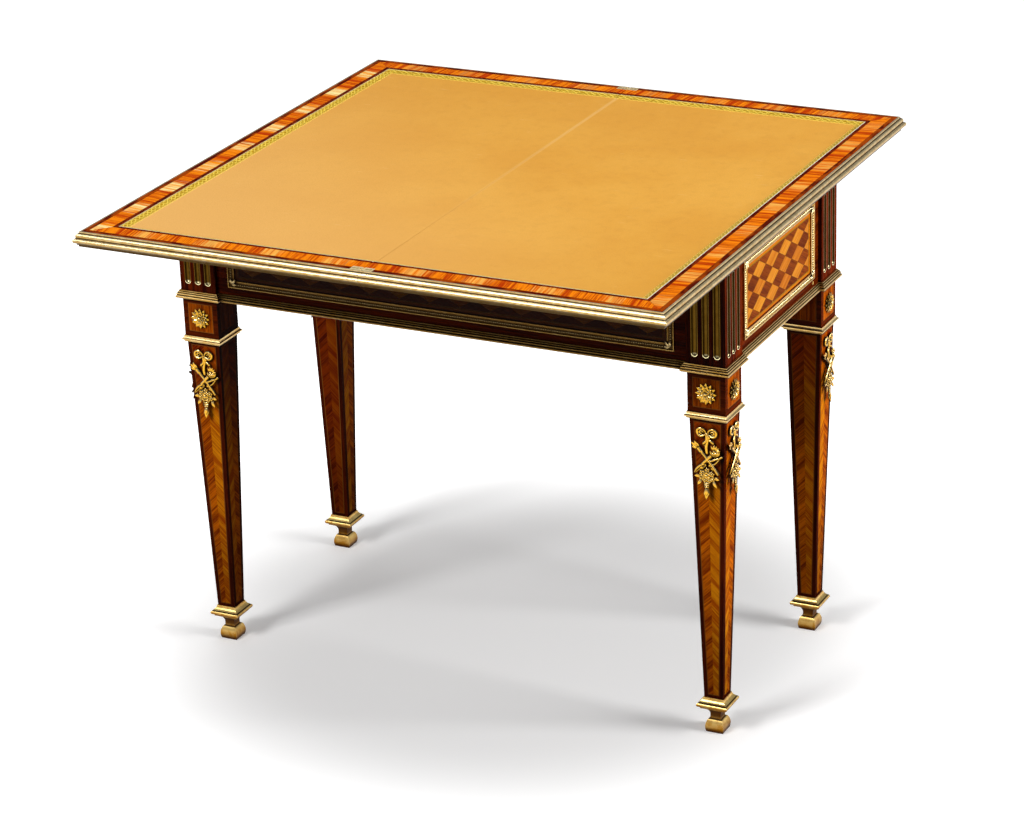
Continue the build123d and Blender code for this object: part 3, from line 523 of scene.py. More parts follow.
def ball(radius, segments=10, rings=6, flat=1.0):
    size = {"segments": segments, "ring_count": rings, "radius": radius}
    return moved(added(bpy.ops.mesh.primitive_uv_sphere_add, **size), Matrix.Diagonal((1, 1, flat, 1)))


upright = Matrix.Rotation(math.pi / 2, 4, "X")


def petal(length, width, thickness, rise=0.0, curl=0.0, blunt=0.8, vein=0.0, segments=10, rings=8):
    """A leaf or petal that grows along +Y from the origin and lies on Z=0: rise lifts its middle,
    curl turns up its tip, a low blunt puts its widest part near the tip, and vein sinks its rib."""
    piece = moved(ball(1.0, segments, rings), upright)
    for vertex in piece.data.vertices:
        side, along, above = vertex.co
        share = (along + 1) / 2
        half = width / 2 * math.sin(math.pi * share**blunt)
        cross = side / max(math.sqrt(max(1 - along * along, 0.0)), 1e-6)
        level = above * thickness * (0.35 + 0.65 * math.sin(math.pi * share))
        sunk = vein * math.exp(-((cross / 0.3) ** 2)) * math.sin(math.pi * share) * (above > 0)
        lift = rise * math.sin(math.pi * share * 0.8) + curl * share**3
        vertex.co = (cross * half, length * share, level + lift - sunk)
    return piece


lozenge_half_length, lozenge_half_height = 24.5 * mm, 13 * mm
slant = math.atan2(lozenge_half_height, lozenge_half_length)
panel_rise = 3.2 * mm
panel_border, panel_orange, panel_string = 1.6 * mm, 7.4 * mm, 0.6 * mm
for axis, sides in lengthwise.items():
    low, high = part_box(f"parquetry_panel_{sides[1]}")
    polish = {"Specular_IOR_Level": 0.0, "Coat_Weight": 0.05, "Coat_Roughness": 0.12}
    parquetry, tree, skin = material(f"parquetry {axis}", **polish)
    x, y, z = where(tree)
    along, reach_along = (x, high.x) if axis == "x" else (y, high.y)
    up = z - (low.z + high.z) / 2
    rising = (along / lozenge_half_length + up / lozenge_half_height) * 0.5
    falling = (along / lozenge_half_length - up / lozenge_half_height) * 0.5
    row, column = calc("FLOOR", rising), calc("FLOOR", falling)
    is_brown = abs(calc("MODULO", row + column, 2.0))
    own = Flow(node(tree, "TexWhiteNoise", {"Vector": place(row, column, 0.0)}).outputs["Value"])
    with_rise, with_fall = (
        place(along * math.cos(a) + up * math.sin(a), up * math.cos(a) - along * math.sin(a), own * 9)
        for a in (slant, -slant)
    )
    light, fibre = wood(tree, with_rise, (255, 172, 56), (214, 116, 22), 1.5 * mm, 0.8)
    brown = wood(tree, with_fall, (176, 84, 16), (118, 48, 6), 1.5 * mm)[0]
    light = mixed(own * 0.5, light, (196, 110, 40), "MULTIPLY")
    brown = mixed(own * 0.5, brown, (120, 60, 30), "MULTIPLY")
    seam = least(*(least(calc("FRACT", cut), 1 - calc("FRACT", cut)) for cut in (rising, falling)))
    from_edge = least(reach_along - abs(along), (high.z - low.z) / 2 - abs(up))
    band = wood(tree, place(along, up, 4.0), (240, 140, 24), (196, 98, 10), 2 * mm)[0]
    border = wood(tree, place(along, up, 8.0), (110, 36, 8), (62, 16, 3), 2.4 * mm)[0]
    colour = layered(
        light,
        (is_brown, brown),
        ((1 - seam.ease(0.008, 0.022)) * 0.7, (70, 30, 10)),
        (short_of(from_edge, panel_orange + 0.15 * mm, 0.15 * mm), band),
        (line_at(from_edge, panel_orange - 1.2 * mm, panel_string), (150, 120, 30)),
        (line_at(from_edge, panel_orange, 0.3 * mm) * 0.7, (80, 36, 12)),
        (short_of(from_edge, panel_border + 0.15 * mm, 0.15 * mm), border),
    )
    colour, dullness = aged(tree, colour, (36, 14, 5), (220, 150, 80), 4 * mm, 0.6, 0.2)
    # Painted shade: the front and back panels are darkened, as under the top.
    if axis == "x":
        colour = mixed(shade_under_top(tree) * 0.85, colour, (34, 12, 3))
    coat_with(skin, colour, 0.24 + fibre * 0.1 + dullness * 0.3, fibre + seam.ease(0.0, 0.03), 0.08 * mm)
    across_table = 1 - "xy".index(axis)
    for side in sides:
        name = f"parquetry_panel_{side}"
        low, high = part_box(name)
        for end in (low, high):
            end[across_table] += math.copysign(panel_rise, end[across_table])
        fitted = Matrix.Translation((low + high) / 2) @ Matrix.Diagonal((*(high - low), 1))
        sheet = moved(added(bpy.ops.mesh.primitive_cube_add, size=1), fitted)
        sheet.name = f"parquetry_sheet_{side}"
        sheet.data.materials.append(parquetry)
        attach(sheet, "frame")
        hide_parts(name)


# Pearl frames
# A gilt frame around each panel: a tall outer fillet, a row of pearls in a sunk bed and a low
# inner fillet, cast in lengths and mitred, with a small leaf at each inner corner. It is pinned
# to the apron over the panel's edge.

frame_width, fillet_width, fillet_slope = 11 * mm, 1.7 * mm, 0.35 * mm
frame_relief, frame_bed, inner_relief = 2.6 * mm, 0.8 * mm, 1.7 * mm
pearl_radius, pearl_pitch = 1.6 * mm, 3.6 * mm
leaf_length, leaf_width = 9 * mm, 4.4 * mm
pearl_tones = (255, 252, 226), (250, 216, 140), (48, 28, 4)
frame_tones = (250, 222, 154), (186, 140, 64), (36, 19, 2)


def pearl_row(length, level, gilt):
    """A row of pearls along X, centred, on the bed of the frame."""
    count = round(length / pearl_pitch)
    pitch = length / count
    pearl = moved(ball(pearl_radius, 8, 6), Matrix.Translation((-length / 2 + pitch / 2, 0, level)))
    pearl.data.materials.append(gilt)
    steps = {"use_constant_offset": True, "constant_offset_displace": (pitch, 0, 0)}
    return modified(pearl, "ARRAY", count=count, use_relative_offset=False, **steps)


def pearl_frame(length, height, pearl_gilt, frame_gilt):
    """One frame flat on Z=0 around the origin, its outer size given."""
    ring = added(bpy.ops.mesh.primitive_plane_add, size=1)
    set_mode("EDIT")
    bpy.ops.transform.resize(value=(length, height, 1))
    bpy.ops.mesh.extrude_region_move(TRANSFORM_OT_translate={"value": (0, 0, frame_relief)})
    bed_width = frame_width - 2 * fillet_width - 2 * fillet_slope
    for thickness, depth in (
        (fillet_width, 0), (fillet_slope, frame_bed - frame_relief), (bed_width, 0),
        (fillet_slope, inner_relief - frame_bed), (fillet_width, 0),
    ):
        bpy.ops.mesh.inset(thickness=thickness, depth=depth)
    bpy.ops.mesh.extrude_region_move(TRANSFORM_OT_translate={"value": (0, 0, -inner_relief)})
    bpy.ops.mesh.delete(type="FACE")
    set_mode("OBJECT")
    for face in ring.data.polygons:
        face.select = abs(face.center.z) < 0.1 * mm and abs(face.normal.z) > 0.9
    set_mode("EDIT")
    bpy.ops.mesh.select_mode(type="FACE")
    bpy.ops.mesh.delete(type="ONLY_FACE")
    bpy.ops.mesh.select_mode(type="EDGE")
    bpy.ops.mesh.select_all(action="DESELECT")
    bpy.ops.mesh.select_non_manifold()
    bpy.ops.mesh.bridge_edge_loops()
    set_mode("OBJECT")
    modified(ring, "BEVEL", width=0.3 * mm, segments=2, limit_method="ANGLE")
    ring.data.materials.append(frame_gilt)
    parts = [ring]
    inner_x, inner_y = length - frame_width, height - frame_width
    long_row = pearl_row(inner_x, frame_bed, pearl_gilt)
    short_row = pearl_row(inner_y, frame_bed, pearl_gilt)
    for quarter, (row, out) in enumerate(((long_row, inner_y / 2), (short_row, inner_x / 2)) * 2):
        parts.append(copy_of(row, turned(quarter * math.pi / 2) @ Matrix.Translation((0, -out, 0))))
    for row in (long_row, short_row):
        bpy.data.objects.remove(row)
    for end in (-1, 1):
        for level in (-1, 1):
            x, y = end * (length / 2 - frame_width * 0.55), level * (height / 2 - frame_width * 0.55)
            inward = math.atan2(-level, -end) - math.pi / 2
            for swing, size in ((0, 1.25), (0.85, 1.0), (-0.85, 1.0)):
                leaf = petal(leaf_length * size, leaf_width, 0.9 * mm, 1.4 * mm, 0.5 * mm, 0.9, 0.5 * mm)
                leaf.data.materials.append(pearl_gilt)
                parts.append(moved(leaf, turned(inward + swing, x, y, inner_relief)))
    return crested(joined(parts, "pearl_frame"), frame_relief)


turns = {"front": 0, "right": 90, "back": 180, "left": 270}


def towards(side):
    """The matrix that turns what faces the front to another side of the table."""
    return Matrix.Rotation(math.radians(turns[side]), 4, "Z")


for axis, sides in lengthwise.items():
    # Painted shade: the front and back frames are darkened, as under the top, and the pearls are painted dark
    # between their crests.
    top_shade_share = 0.95 if axis == "x" else 0.0
    pearls = {"crest": (0.12, 0.5), "top_shade_share": top_shade_share}
    pearl_gilt = brass(f"pearl gilt {axis}", *pearl_tones, 1.6 * mm, 300.0, 0.1 * mm, 0.18, **pearls)
    frame_gilt = brass(f"frame gilt {axis}", *frame_tones, 3.0 * mm, 160.0, top_shade_share=top_shade_share)
    for side in sides:
        low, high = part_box(f"bead_frame_{side}")
        length = high.x - low.x if axis == "x" else high.y - low.y
        out = {"front": -high.y, "back": low.y, "left": -high.x, "right": low.x}[side]
        piece = pearl_frame(length, high.z - low.z, pearl_gilt, frame_gilt)
        middle = Matrix.Translation((0, -out, (low.z + high.z) / 2))
        smooth(moved(piece, towards(side) @ middle @ upright), 40)
        piece.name = f"pearl_frame_{side}"
        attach(piece, "frame")
        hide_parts(f"bead_frame_{side}")


# Frieze mouldings
# Reeded brass lengths pinned along the foot of each apron, and the same section mitred forward
# around each corner block.

reed_grooves = [(block_foot + up * mm, 0.45 * mm) for up in (4.3, 7.8, 10.2)]
reed_tones = (240, 212, 146), (172, 126, 52), (36, 21, 3)
# Painted shade under the top: strong on the long lengths and slight on the corners.
for name, pieces, top_shade_share in (
    ("long frieze", ["frieze_moulding_front", "frieze_moulding_back"], 0.92),
    ("short frieze", ["frieze_moulding_left", "frieze_moulding_right"], 0.0),
    ("corner", [f"corner_moulding_{corner}" for corner in corners], 0.25),
):
    dress(brass(f"{name} brass", *reed_tones, 6 * mm, grooves=reed_grooves, top_shade_share=top_shade_share), *pieces)


# Flute linings
# Thin sheet brass pressed into the flutes of the corner blocks, toned down, painted dark on the
# flanks of each channel and under the top as shade, and with a painted highlight at the round feet.

lining_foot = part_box("flute_linings")[0].z
flute_brass, tree, skin = material("flute brass", Metallic=1.0)
x, y, z = where(tree)
facing_x, facing_y = facing(tree)[:2]
inputs = {"Bright": (140, 108, 46), "Middle": (96, 70, 24), "Deep": (26, 15, 3)}
inputs |= {"Reach": 8 * mm, "Mottle": 90.0, "Rough": 0.27}
look = node(tree, "Group", inputs, node_tree=old_brass).outputs
on_side = abs(abs(x) - leg_x) > abs(abs(y) - leg_y)
outward = abs(facing_x) * on_side + abs(facing_y) * (1 - on_side)
# Painted shade on the flanks of each channel and under the top.
flank_shade = calc("MAXIMUM", 1 - outward.ease(0.8, 0.99), shade_under_top(tree) * 0.4)
# A painted highlight at the round foot of each channel.
foot = (1 - (z - lining_foot).ease(2 * mm, 5.5 * mm)) * outward.ease(0.5, 0.9)
colour = layered(look["Colour"], (flank_shade * 0.85, (26, 15, 3)), (foot * 0.9, (255, 240, 180)))
coat_with(skin, colour, Flow(look["Roughness"]) + 0.06 - foot * 0.1, look["Relief"], 0.05 * mm)
dress(flute_brass, "flute_linings")


# Rosettes
# Cast and chased gilt daisies on the outer faces of the rosette blocks: two rings of twelve
# pointed petals, an inner ring of seven and a beaded middle, each pinned through its centre.

rosette_radius = 16.4 * mm
rosette_rings = (
    # petals, length, width, height of the root, rise, curl, and the share of a turn it starts at
    (12, 1.0, 7.4, 0.6, 1.5, 0.4, 0.0),
    (12, 0.8, 6.2, 2.2, 1.7, 1.2, 0.5),
    (7, 0.54, 5.8, 3.6, 1.2, 1.6, 0.0),
)
mount_tones = (255, 250, 200), (206, 152, 44), (30, 14, 1)
# Painted light and shade: dark between the crests, bright only where it faces up and deep where it faces
# down.
mount_gilt = brass("mount gilt", *mount_tones, 3.6 * mm, 300.0, 0.3 * mm, 0.13, crest=(0.46, 0.84), lit_from_above=0.9)


def rosette():
    parts = [moved(ball(12.5 * mm, 24, 6, 0.1), Matrix.Translation((0, 0, 0.6 * mm)))]
    for count, share, width, root, rise, curl, start in rosette_rings:
        for number in range(count):
            piece = petal(rosette_radius * share, width * mm, 0.9 * mm, rise * mm, curl * mm, 0.95, 1.1 * mm)
            parts.append(moved(piece, turned(math.tau * (number + start) / count, z=root * mm)))
    parts.append(moved(ball(3.0 * mm, 14, 8, 0.8), Matrix.Translation((0, 0, 5.2 * mm))))
    for number in range(9):
        bead_place = Matrix.Rotation(math.tau * number / 9, 4, "Z") @ Vector((3.1, 0, 5.6)) * mm
        parts.append(moved(ball(0.85 * mm, 8, 5), Matrix.Translation(bead_place)))
    return crested(joined(parts, "rosette"), 7 * mm)


def leg_faces():
    """The name and the matrix of each outer face of each leg, at the floor."""
    for corner in corners:
        end, side = corner.split("_")
        x, y = leg_x if side == "right" else -leg_x, leg_y if end == "back" else -leg_y
        foot = Matrix.Translation((x, y, 0))
        for face in (end, side):
            yield f"{corner}_{face}", foot @ towards(face)


first_rosette = rosette()
for name, matrix in leg_faces():
    on_block = Matrix.Translation((0, -block_half, block_level)) @ upright
    piece = smooth(copy_of(first_rosette, matrix @ on_block), 50)
    piece.name = f"rosette_{name}"
    piece.data.materials.append(mount_gilt)
    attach(piece, "frame")
    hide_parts("leg_rosettes")
bpy.data.objects.remove(first_rosette)


# Trophies
# Cast and chased gilt mounts on the outer faces of the shafts: a ribbon bow above a torch crossed
# with a bow and a quiver, over a bunch of flowers, ribbed rings and a leafy drop.

trophy_low, trophy_high = (corner.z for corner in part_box("leg_trophies"))
fullness, leaf_growth = 1.35, 1.2


def rod(*points, flat=0.8, closed=False):
    """A bar or ribbon along a soft line. Each point is a place in millimetres, right, up and out
    from the trophy's top middle, and the radius there."""
    bar = added(bpy.ops.curve.primitive_nurbs_path_add)
    bar.data.splines.clear()
    line = bar.data.splines.new("NURBS")
    line.points.add(len(points) - 1)
    for point, (u, v, w, radius) in zip(line.points, points):
        point.co = (u * mm, v * mm, w * mm / flat, 1.0)
        point.radius = radius * fullness
    line.order_u = 3
    line.use_cyclic_u = closed
    line.use_endpoint_u = not closed
    line.resolution_u = 4
    bar.data.dimensions = "3D"
    bar.data.bevel_depth = mm
    bar.data.bevel_resolution = 2
    bar.data.use_fill_caps = True
    bpy.ops.object.convert(target="MESH")
    return moved(bpy.context.object, Matrix.Diagonal((1, 1, flat, 1)))


def knob(radius, u, v, w, segments=12, rings=8, flat=0.8, stretch=1.0):
    piece = moved(ball(radius * mm, segments, rings, flat), Matrix.Diagonal((1, stretch, 1, 1)))
    return moved(piece, turned(0, u * mm, v * mm, w * mm))


def leaf(u, v, turn, length, width, w=0.8, rise=1.0, curl=0.8, blunt=0.9, vein=0.5):
    length, width = length * leaf_growth, width * leaf_growth
    piece = petal(length * mm, width * mm, 0.9 * mm, rise * mm, curl * mm, blunt, vein * mm)
    return moved(piece, turned(math.radians(turn), u * mm, v * mm, w * mm))


def flower(u, v, size, w, turn):
    """A small blossom: five round petals about a ball."""
    parts = [knob(size * 0.26, u, v, w + 0.9, 8, 6, 1.0)]
    for number in range(5):
        parts.append(leaf(u, v, turn + 72 * number, size * 0.56, size * 0.5, w, 0.7, 0.3, 0.7, 0.3))
    return parts


def ribbons():
    loop = (
        (0.6, -9.8, 1.6, 0.8), (4, -4, 2.2, 1.5), (9.6, -1.4, 2.8, 1.9), (15, -5.2, 2.4, 1.7),
        (14.4, -11.6, 2, 1.5), (9.4, -14.6, 2.6, 1.8), (5, -12.6, 2.2, 1.1),
    )
    inner_loop = (
        (5.2, -8.2, 1.4, 0.9), (8.6, -5, 1.8, 1.2), (11.6, -7.2, 1.9, 1.3), (10.6, -10.6, 1.6, 1.2),
        (7.6, -10.4, 1.4, 1),
    )
    parts = [knob(2.1, 0, -9.6, 2.2)]
    for side in (-1, 1):
        for points, closed in ((loop, True), (inner_loop, False)):
            parts.append(rod(*((side * u, *rest) for u, *rest in points), flat=0.7, closed=closed))
    right_tail = (
        (1.2, -11, 1.8, 1.5), (3.8, -15, 2.4, 1.9), (3, -19, 1.6, 1.3), (7.4, -20.6, 2.4, 1.9),
        (10.8, -24.6, 2, 1.5), (7.6, -25.2, 1.2, 0.6),
    )
    left_tail = (
        (-0.8, -11, 1.8, 1.5), (0.6, -16, 2.2, 1.9), (-0.4, -21, 2, 1.5), (-4.2, -23.8, 2.4, 1.9),
        (-5.4, -27.4, 1.8, 1.4), (-2, -28.4, 1.4, 0.5),
    )
    middle_tail = (
        (0.2, -11, 1.6, 1.5), (1.6, -17, 1.8, 2.2), (0.4, -24, 1.6, 1.6), (-1.6, -32, 1.8, 2.2),
        (0.4, -40, 1.8, 1.6),
    )
    return parts + [rod(*right_tail, flat=0.7), rod(*left_tail, flat=0.7), rod(*middle_tail, flat=0.6)]


def torch():
    handle = (
        (-9.6, -36.5, 2.2, 2.2), (-4, -42, 2.6, 1.9), (3, -50, 3, 1.7), (11, -61, 2.4, 1.5),
        (17.6, -70.4, 1.6, 1.9),
    )
    cup = (-13.2, -32.6, 2, 3.2), (-10.8, -35.2, 2.2, 2.6), (-8.6, -37.6, 2.2, 3), (-6.4, -40, 2.2, 1.7)
    rings = (-7.6, -38.6), (-5.2, -41.2), (14.2, -65.4), (16.2, -68.4)
    flames = (28, 10.5, 4.4), (52, 11.5, 4.4), (78, 8.5, 3.8), (8, 7.0, 3.4), (40, 7.5, 3.6)
    parts = [rod(*handle), rod(*cup)] + [knob(2.5, u, v, 2.2, 10, 6, 0.55, 0.5) for u, v in rings]
    return parts + [leaf(-12.6, -33.2, *flame, 1.8, 1.5, 1.2, 1.0, 0.7) for flame in flames]


def quiver():
    parts = [rod((7.4, -42, 2.2, 2.4), (2, -48, 2.6, 2.2), (-4, -54.6, 2.4, 2), (-8.4, -58.6, 1.8, 1.6))]
    parts.append(knob(2.4, 12.2, -35.4, 3.6))
    for number, reach in enumerate((7.0, 5.0, 3.1)):
        curl = []
        for step, radius in enumerate((0.8, 1.3, 1.7, 1.9, 1.7, 1.3, 0.8)):
            angle = math.radians(170 + 34 * step + 14 * number)
            u, v = 12.6 + reach * math.cos(angle), -36 + reach * 0.86 * math.sin(angle)
            curl.append((u, v, 2.0 + 0.8 * number, radius))
        parts.append(rod(*curl))
    feathers = [leaf(12.4, -35, turn, 8.4, 3.2, 2.6, 1.2, 0.9, 0.8, 0.6) for turn in (-74, -48, -22, 4, 30)]
    return parts + feathers


def bow_and_arrow():
    bars = (
        ((1, -52, 2.6, 1.5), (8, -50.4, 2.6, 1.6), (14, -46.6, 2.4, 1.4), (19, -45.8, 2.2, 1.3),
         (23, -42.6, 1.8, 1.7)),
        ((5, -57, 2.2, 0.7), (10.4, -56.6, 2, 1), (15.4, -52, 2, 0.9), (19.4, -46.4, 2, 0.7)),
        ((-3, -56, 2.6, 1.7), (-9, -58.4, 2.4, 1.8), (-13.6, -63.6, 2.2, 1.7), (-16.8, -67.4, 1.8, 1.3),
         (-19.4, -72.6, 1.2, 0.8)),
        ((-2, -60, 1.6, 0.7), (-8, -63, 1.6, 0.7), (-14, -68, 1.4, 0.7), (-19, -72.4, 1.2, 0.7)),
    )
    return [rod(*bar) for bar in bars] + [knob(2.1, 23, -42.4, 2, 10, 6)]


def bunch_and_drop():
    blossoms = (
        (0.6, -73.6, 9.4, 2.6, 10), (-7, -70.6, 7.6, 1.6, 40), (7.6, -71.4, 7.6, 1.6, 0),
        (-9, -77.4, 6.8, 1.2, 20), (9.4, -78.2, 6.8, 1.2, 60), (-3, -80.4, 7, 1.6, 30),
        (4.2, -81, 6.8, 1.6, 50), (0.8, -65.6, 6.4, 1.8, 15),
    )
    leaves = (
        (-8, -80, 150, 9.6), (-10, -75, 100, 7.6), (9, -81, 214, 10.4), (11, -76, 256, 7.6),
        (-5, -66, 44, 7.0), (6, -66, -44, 7.0), (-2, -62.4, 16, 7.4), (3.6, -62.4, -22, 7.0),
    )
    berries = (-4.2, -75.6), (4.8, -76.2), (-0.4, -78.6), (3.2, -68.6), (-3.2, -68.4), (-6.2, -73.8)
    drop_rings = (-86.4, 4.4), (-89.4, 4.0), (-92.2, 3.4)
    drop_leaves = (
        (-1.8, -94, 196, 9.0, 1.8), (1.8, -94, 164, 9.0, 1.8), (0, -93.6, 180, 10.2, 2.8),
        (-2.6, -97.4, 190, 8.4, 1.4), (2.6, -97.4, 170, 8.4, 1.4), (0, -98.8, 180, 10.2, 2.2),
    )
    parts = [knob(8.5, 0.6, -74, 0.6, 16, 8, 0.22), knob(3.4, 0, -99.6, 1.6, 12, 8, 0.7, 1.9)]
    for blossom in blossoms:
        parts += flower(*blossom)
    parts += [leaf(*spot, 4.6, 0.8, 1.4, 1.0) for spot in leaves]
    parts += [knob(1.3, u, v, 3.2, 8, 6, 1.0) for u, v in berries]
    for v, half in drop_rings:
        parts.append(rod((-half, v + 0.7, 1.0, 1.1), (0, v - 0.5, 2.6, 1.6), (half, v + 0.7, 1.0, 1.1)))
    return parts + [leaf(*spot, 4.6, w, 0.9, 0.4, 0.8) for *spot, w in drop_leaves]


def trophy():
    parts = ribbons() + torch() + quiver() + bow_and_arrow() + bunch_and_drop()
    return crested(joined(parts, "trophy"), 5 * mm)


shaft_lean = math.atan2(shaft_top_half - shaft_foot_half, collar_foot - shoe_top)
trophy_half = shaft_foot_half + (trophy_high - shoe_top) * math.tan(shaft_lean)
first_trophy = trophy()
levels = [vertex.co.y for vertex in first_trophy.data.vertices]
shrink = (trophy_high - trophy_low) / (max(levels) - min(levels))
for name, matrix in leg_faces():
    leaning = Matrix.Rotation(math.pi / 2 - shaft_lean, 4, "X")
    leaning = Matrix.Translation((0, -trophy_half, trophy_high)) @ leaning
    fitted = Matrix.Scale(shrink, 4) @ Matrix.Translation((0, -max(levels), 0))
    piece = smooth(copy_of(first_trophy, matrix @ leaning @ fitted), 60)
    piece.name = f"trophy_{name}"
    piece.data.materials.append(mount_gilt)
    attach(piece, "frame")
    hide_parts("leg_trophies")
bpy.data.objects.remove(first_trophy)


# Catch stud
# A small turned gilt stud in the right apron, below the panel's back corner.

stud_gilt = brass("stud gilt", (255, 228, 150), (214, 160, 70), (80, 46, 10), 2 * mm, 300.0)
dress(stud_gilt, "catch_stud")


# Well, partition and rail
# Plain oak inside the frame: the bottom of the well for cards and counters, its partition, the
# rail that carries the swivel, and the glue blocks under them. Oiled and a little dusty.

oak, tree, skin = material("oak", Specular_IOR_Level=0.3)
x, y, z = where(tree)
colour, fibre = wood(tree, place(y, x, z), (186, 140, 88), (122, 82, 44), 3 * mm)
colour, dullness = aged(tree, colour, (70, 48, 28), (204, 168, 120), 14 * mm, 0.6, 0.3)
coat_with(skin, colour, 0.55 + fibre * 0.2 + dullness * 0.1, fibre, 0.2 * mm)
dress(oak, "well_board", "well_partition", "pivot_rail", "glue_blocks")


# Felt strips
# Green wool felt glued along the top edges of the frame, where the leaves slide and rest.

felt, tree, skin = material("green felt", Specular_IOR_Level=0.15, Sheen_Weight=0.5, Sheen_Roughness=0.6)
x, y, z = where(tree)
wool = noise(place(x, y, z), 1400.0, 4.0, 0.7)
rubbed = noise(place(x, y, z), 40.0, 3.0).ease(0.5, 0.7)
colour = layered((26, 66, 42), (wool.ease(0.35, 0.65), (60, 112, 76)), (rubbed * 0.5, (84, 120, 84)))
coat_with(skin, colour, 0.85 + wool * 0.1, wool, 0.3 * mm)
dress(felt, "felt_strips")


# Swivel
# An iron plate and its bolt let into the right leaf, with a washer and nut under the rail's brass
# bush, and a turned beech peg that stops the leaf after a quarter turn.

iron, tree, skin = material("black iron", Metallic=1.0)
x, y, z = where(tree)
scale = noise(place(x, y, z), 260.0, 5.0, 0.65)
rust = noise(place(x, y, z), 90.0, 4.0).ease(0.56, 0.72)
colour = layered((52, 48, 46), (scale.ease(0.35, 0.65), (96, 92, 88)), (rust * 0.5, (96, 56, 34)))
coat_with(skin, colour, 0.42 + scale * 0.2 + rust * 0.2, scale, 0.1 * mm)
dress(iron, "pivot_bolt", "pivot_washer", "pivot_nut")
bush_brass = brass("bush brass", (214, 180, 110), (168, 130, 66), (60, 40, 14))
dress(bush_brass, "pivot_bush")

beech, tree, skin = material("turned beech", Specular_IOR_Level=0.35)
x, y, z = where(tree)
colour, fibre = wood(tree, place(z, x, y), (214, 172, 122), (170, 124, 78), 1.2 * mm)
coat_with(skin, colour, 0.45 + fibre * 0.15, fibre, 0.1 * mm)
dress(beech, "stop_peg")


# Leaf boards
# Mahogany boards, polished on their undersides, which show as the top of the folded table.

board, tree, skin = material("mahogany", Specular_IOR_Level=0.2, Coat_Weight=0.1, Coat_Roughness=0.1)
x, y, z = where(tree)
colour, fibre = wood(tree, place(y, x, z), (138, 58, 26), (70, 22, 10), 6 * mm, 0.9)
colour, dullness = aged(tree, colour, (30, 10, 5), (170, 96, 52), 8 * mm, 0.5, 0.3)
coat_with(skin, colour, 0.24 + fibre * 0.12 + dullness * 0.2, fibre, 0.08 * mm)
dress(board, "leaf_core", "flap_core")


# Crossbanding
# Tulipwood laid with its grain across the edge, in pieces about 100 mm long cut from one flitch,
# so that the same pale patch comes round in each, and mitred at the corners. A dark mottled line
# runs outside it and a thinner one inside.

def round_the_top(x, y, edge):
    """How far in from the sides and from the ends, 1 beside the sides, and along and across."""
    from_side, from_end = edge - abs(x), edge - abs(y)
    on_side = from_side < from_end
    return from_side, from_end, on_side, y * on_side + x * (1 - on_side), least(from_side, from_end)


wood_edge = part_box("leaf_banding")[1].y
inner_string, outer_string = 6 * mm, 8 * mm
band_width = wood_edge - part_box("leaf_leather")[1].y
flitch, patch_half = 100 * mm, 17 * mm
banding, tree, skin = material("tulipwood", Specular_IOR_Level=0.0, Coat_Weight=0.06, Coat_Roughness=0.08)
x, y, z = where(tree)
from_side, from_end, on_side, along, inward = round_the_top(x, y, wood_edge)
which = on_side * 3.7 + calc("SIGN", x) * 1.9 + calc("SIGN", y) * (1 - on_side) * 5.1
wander = (noise(place(along * 8, which, 0.0), 1.0, 2.0) - 0.5) * 26 * mm
turn_in_flitch = abs(calc("FRACT", (along + wander) / flitch + which) - 0.5) * flitch
slant = inward * 0.12
ragged = (noise(place((along + slant) * 380, inward * 12, which), 1.0, 3.0) - 0.5) * 44 * mm
patch = 1 - (turn_in_flitch + ragged).ease(patch_half - 5 * mm, patch_half + 7 * mm)
crosswise = place(inward, along + slant, which)
streaks, fibre = wood(tree, crosswise, (252, 140, 20), (186, 58, 0), 3.4 * mm, 2.2)
pale_streaks = wood(tree, crosswise, (255, 206, 100), (232, 104, 4), 3.2 * mm, 2.6)[0]
cream_streaks = wood(tree, crosswise, (255, 240, 164), (250, 150, 20), 3.2 * mm, 2.4)[0]
left_side, back_side = on_side * (x < 0), (1 - on_side) * (y > 0)
red = noise(place(along * 60, inward * 8, which), 1.0, 3.0).ease(0.56, 0.68)
mottle = noise(place(along * 30, inward * 90, which), 1.0, 3.0).ease(0.42, 0.58)
fine_mottle = noise(place(along * 60, inward * 200, which), 1.0, 3.0).ease(0.4, 0.6)
inner_edge = band_width - inner_string
glue = line_at(inward, outer_string, 0.3 * mm) + line_at(inward, inner_edge, 0.3 * mm)
mitre = line_at(from_side - from_end, 0.0, 0.35 * mm)
colour = layered(
    streaks,
    (red * 0.5, (206, 68, 0)),
    (patch * (0.66 + left_side * 0.3 - back_side * 0.3), mixed(left_side, pale_streaks, cream_streaks)),
    (short_of(inward, outer_string, 0.3 * mm), mixed(mottle, (86, 22, 6), (156, 66, 8))),
    (1 - short_of(inward, inner_edge, 0.3 * mm), mixed(fine_mottle, (78, 20, 8), (124, 44, 14))),
    (least(glue + mitre, 1.0) * 0.6, (64, 22, 6)),
)
colour, dullness = aged(tree, colour, (70, 26, 8), (240, 190, 120), 2 * mm, 0.5, 0.3)
coat_with(skin, colour, 0.2 + fibre * 0.1 + dullness * 0.2, fibre - glue * 0.5, 0.06 * mm)
dress(banding, "leaf_banding", "flap_banding")


# Leather
# Tan leather skived and glued down in a shallow tray, one skin to each leaf, its sloping margin
# tooled in gold: a bead along the wood, an interlaced wave on a hatched ground and a scalloped
# inner edge. It is creased a little beside the fold and darker towards the back.

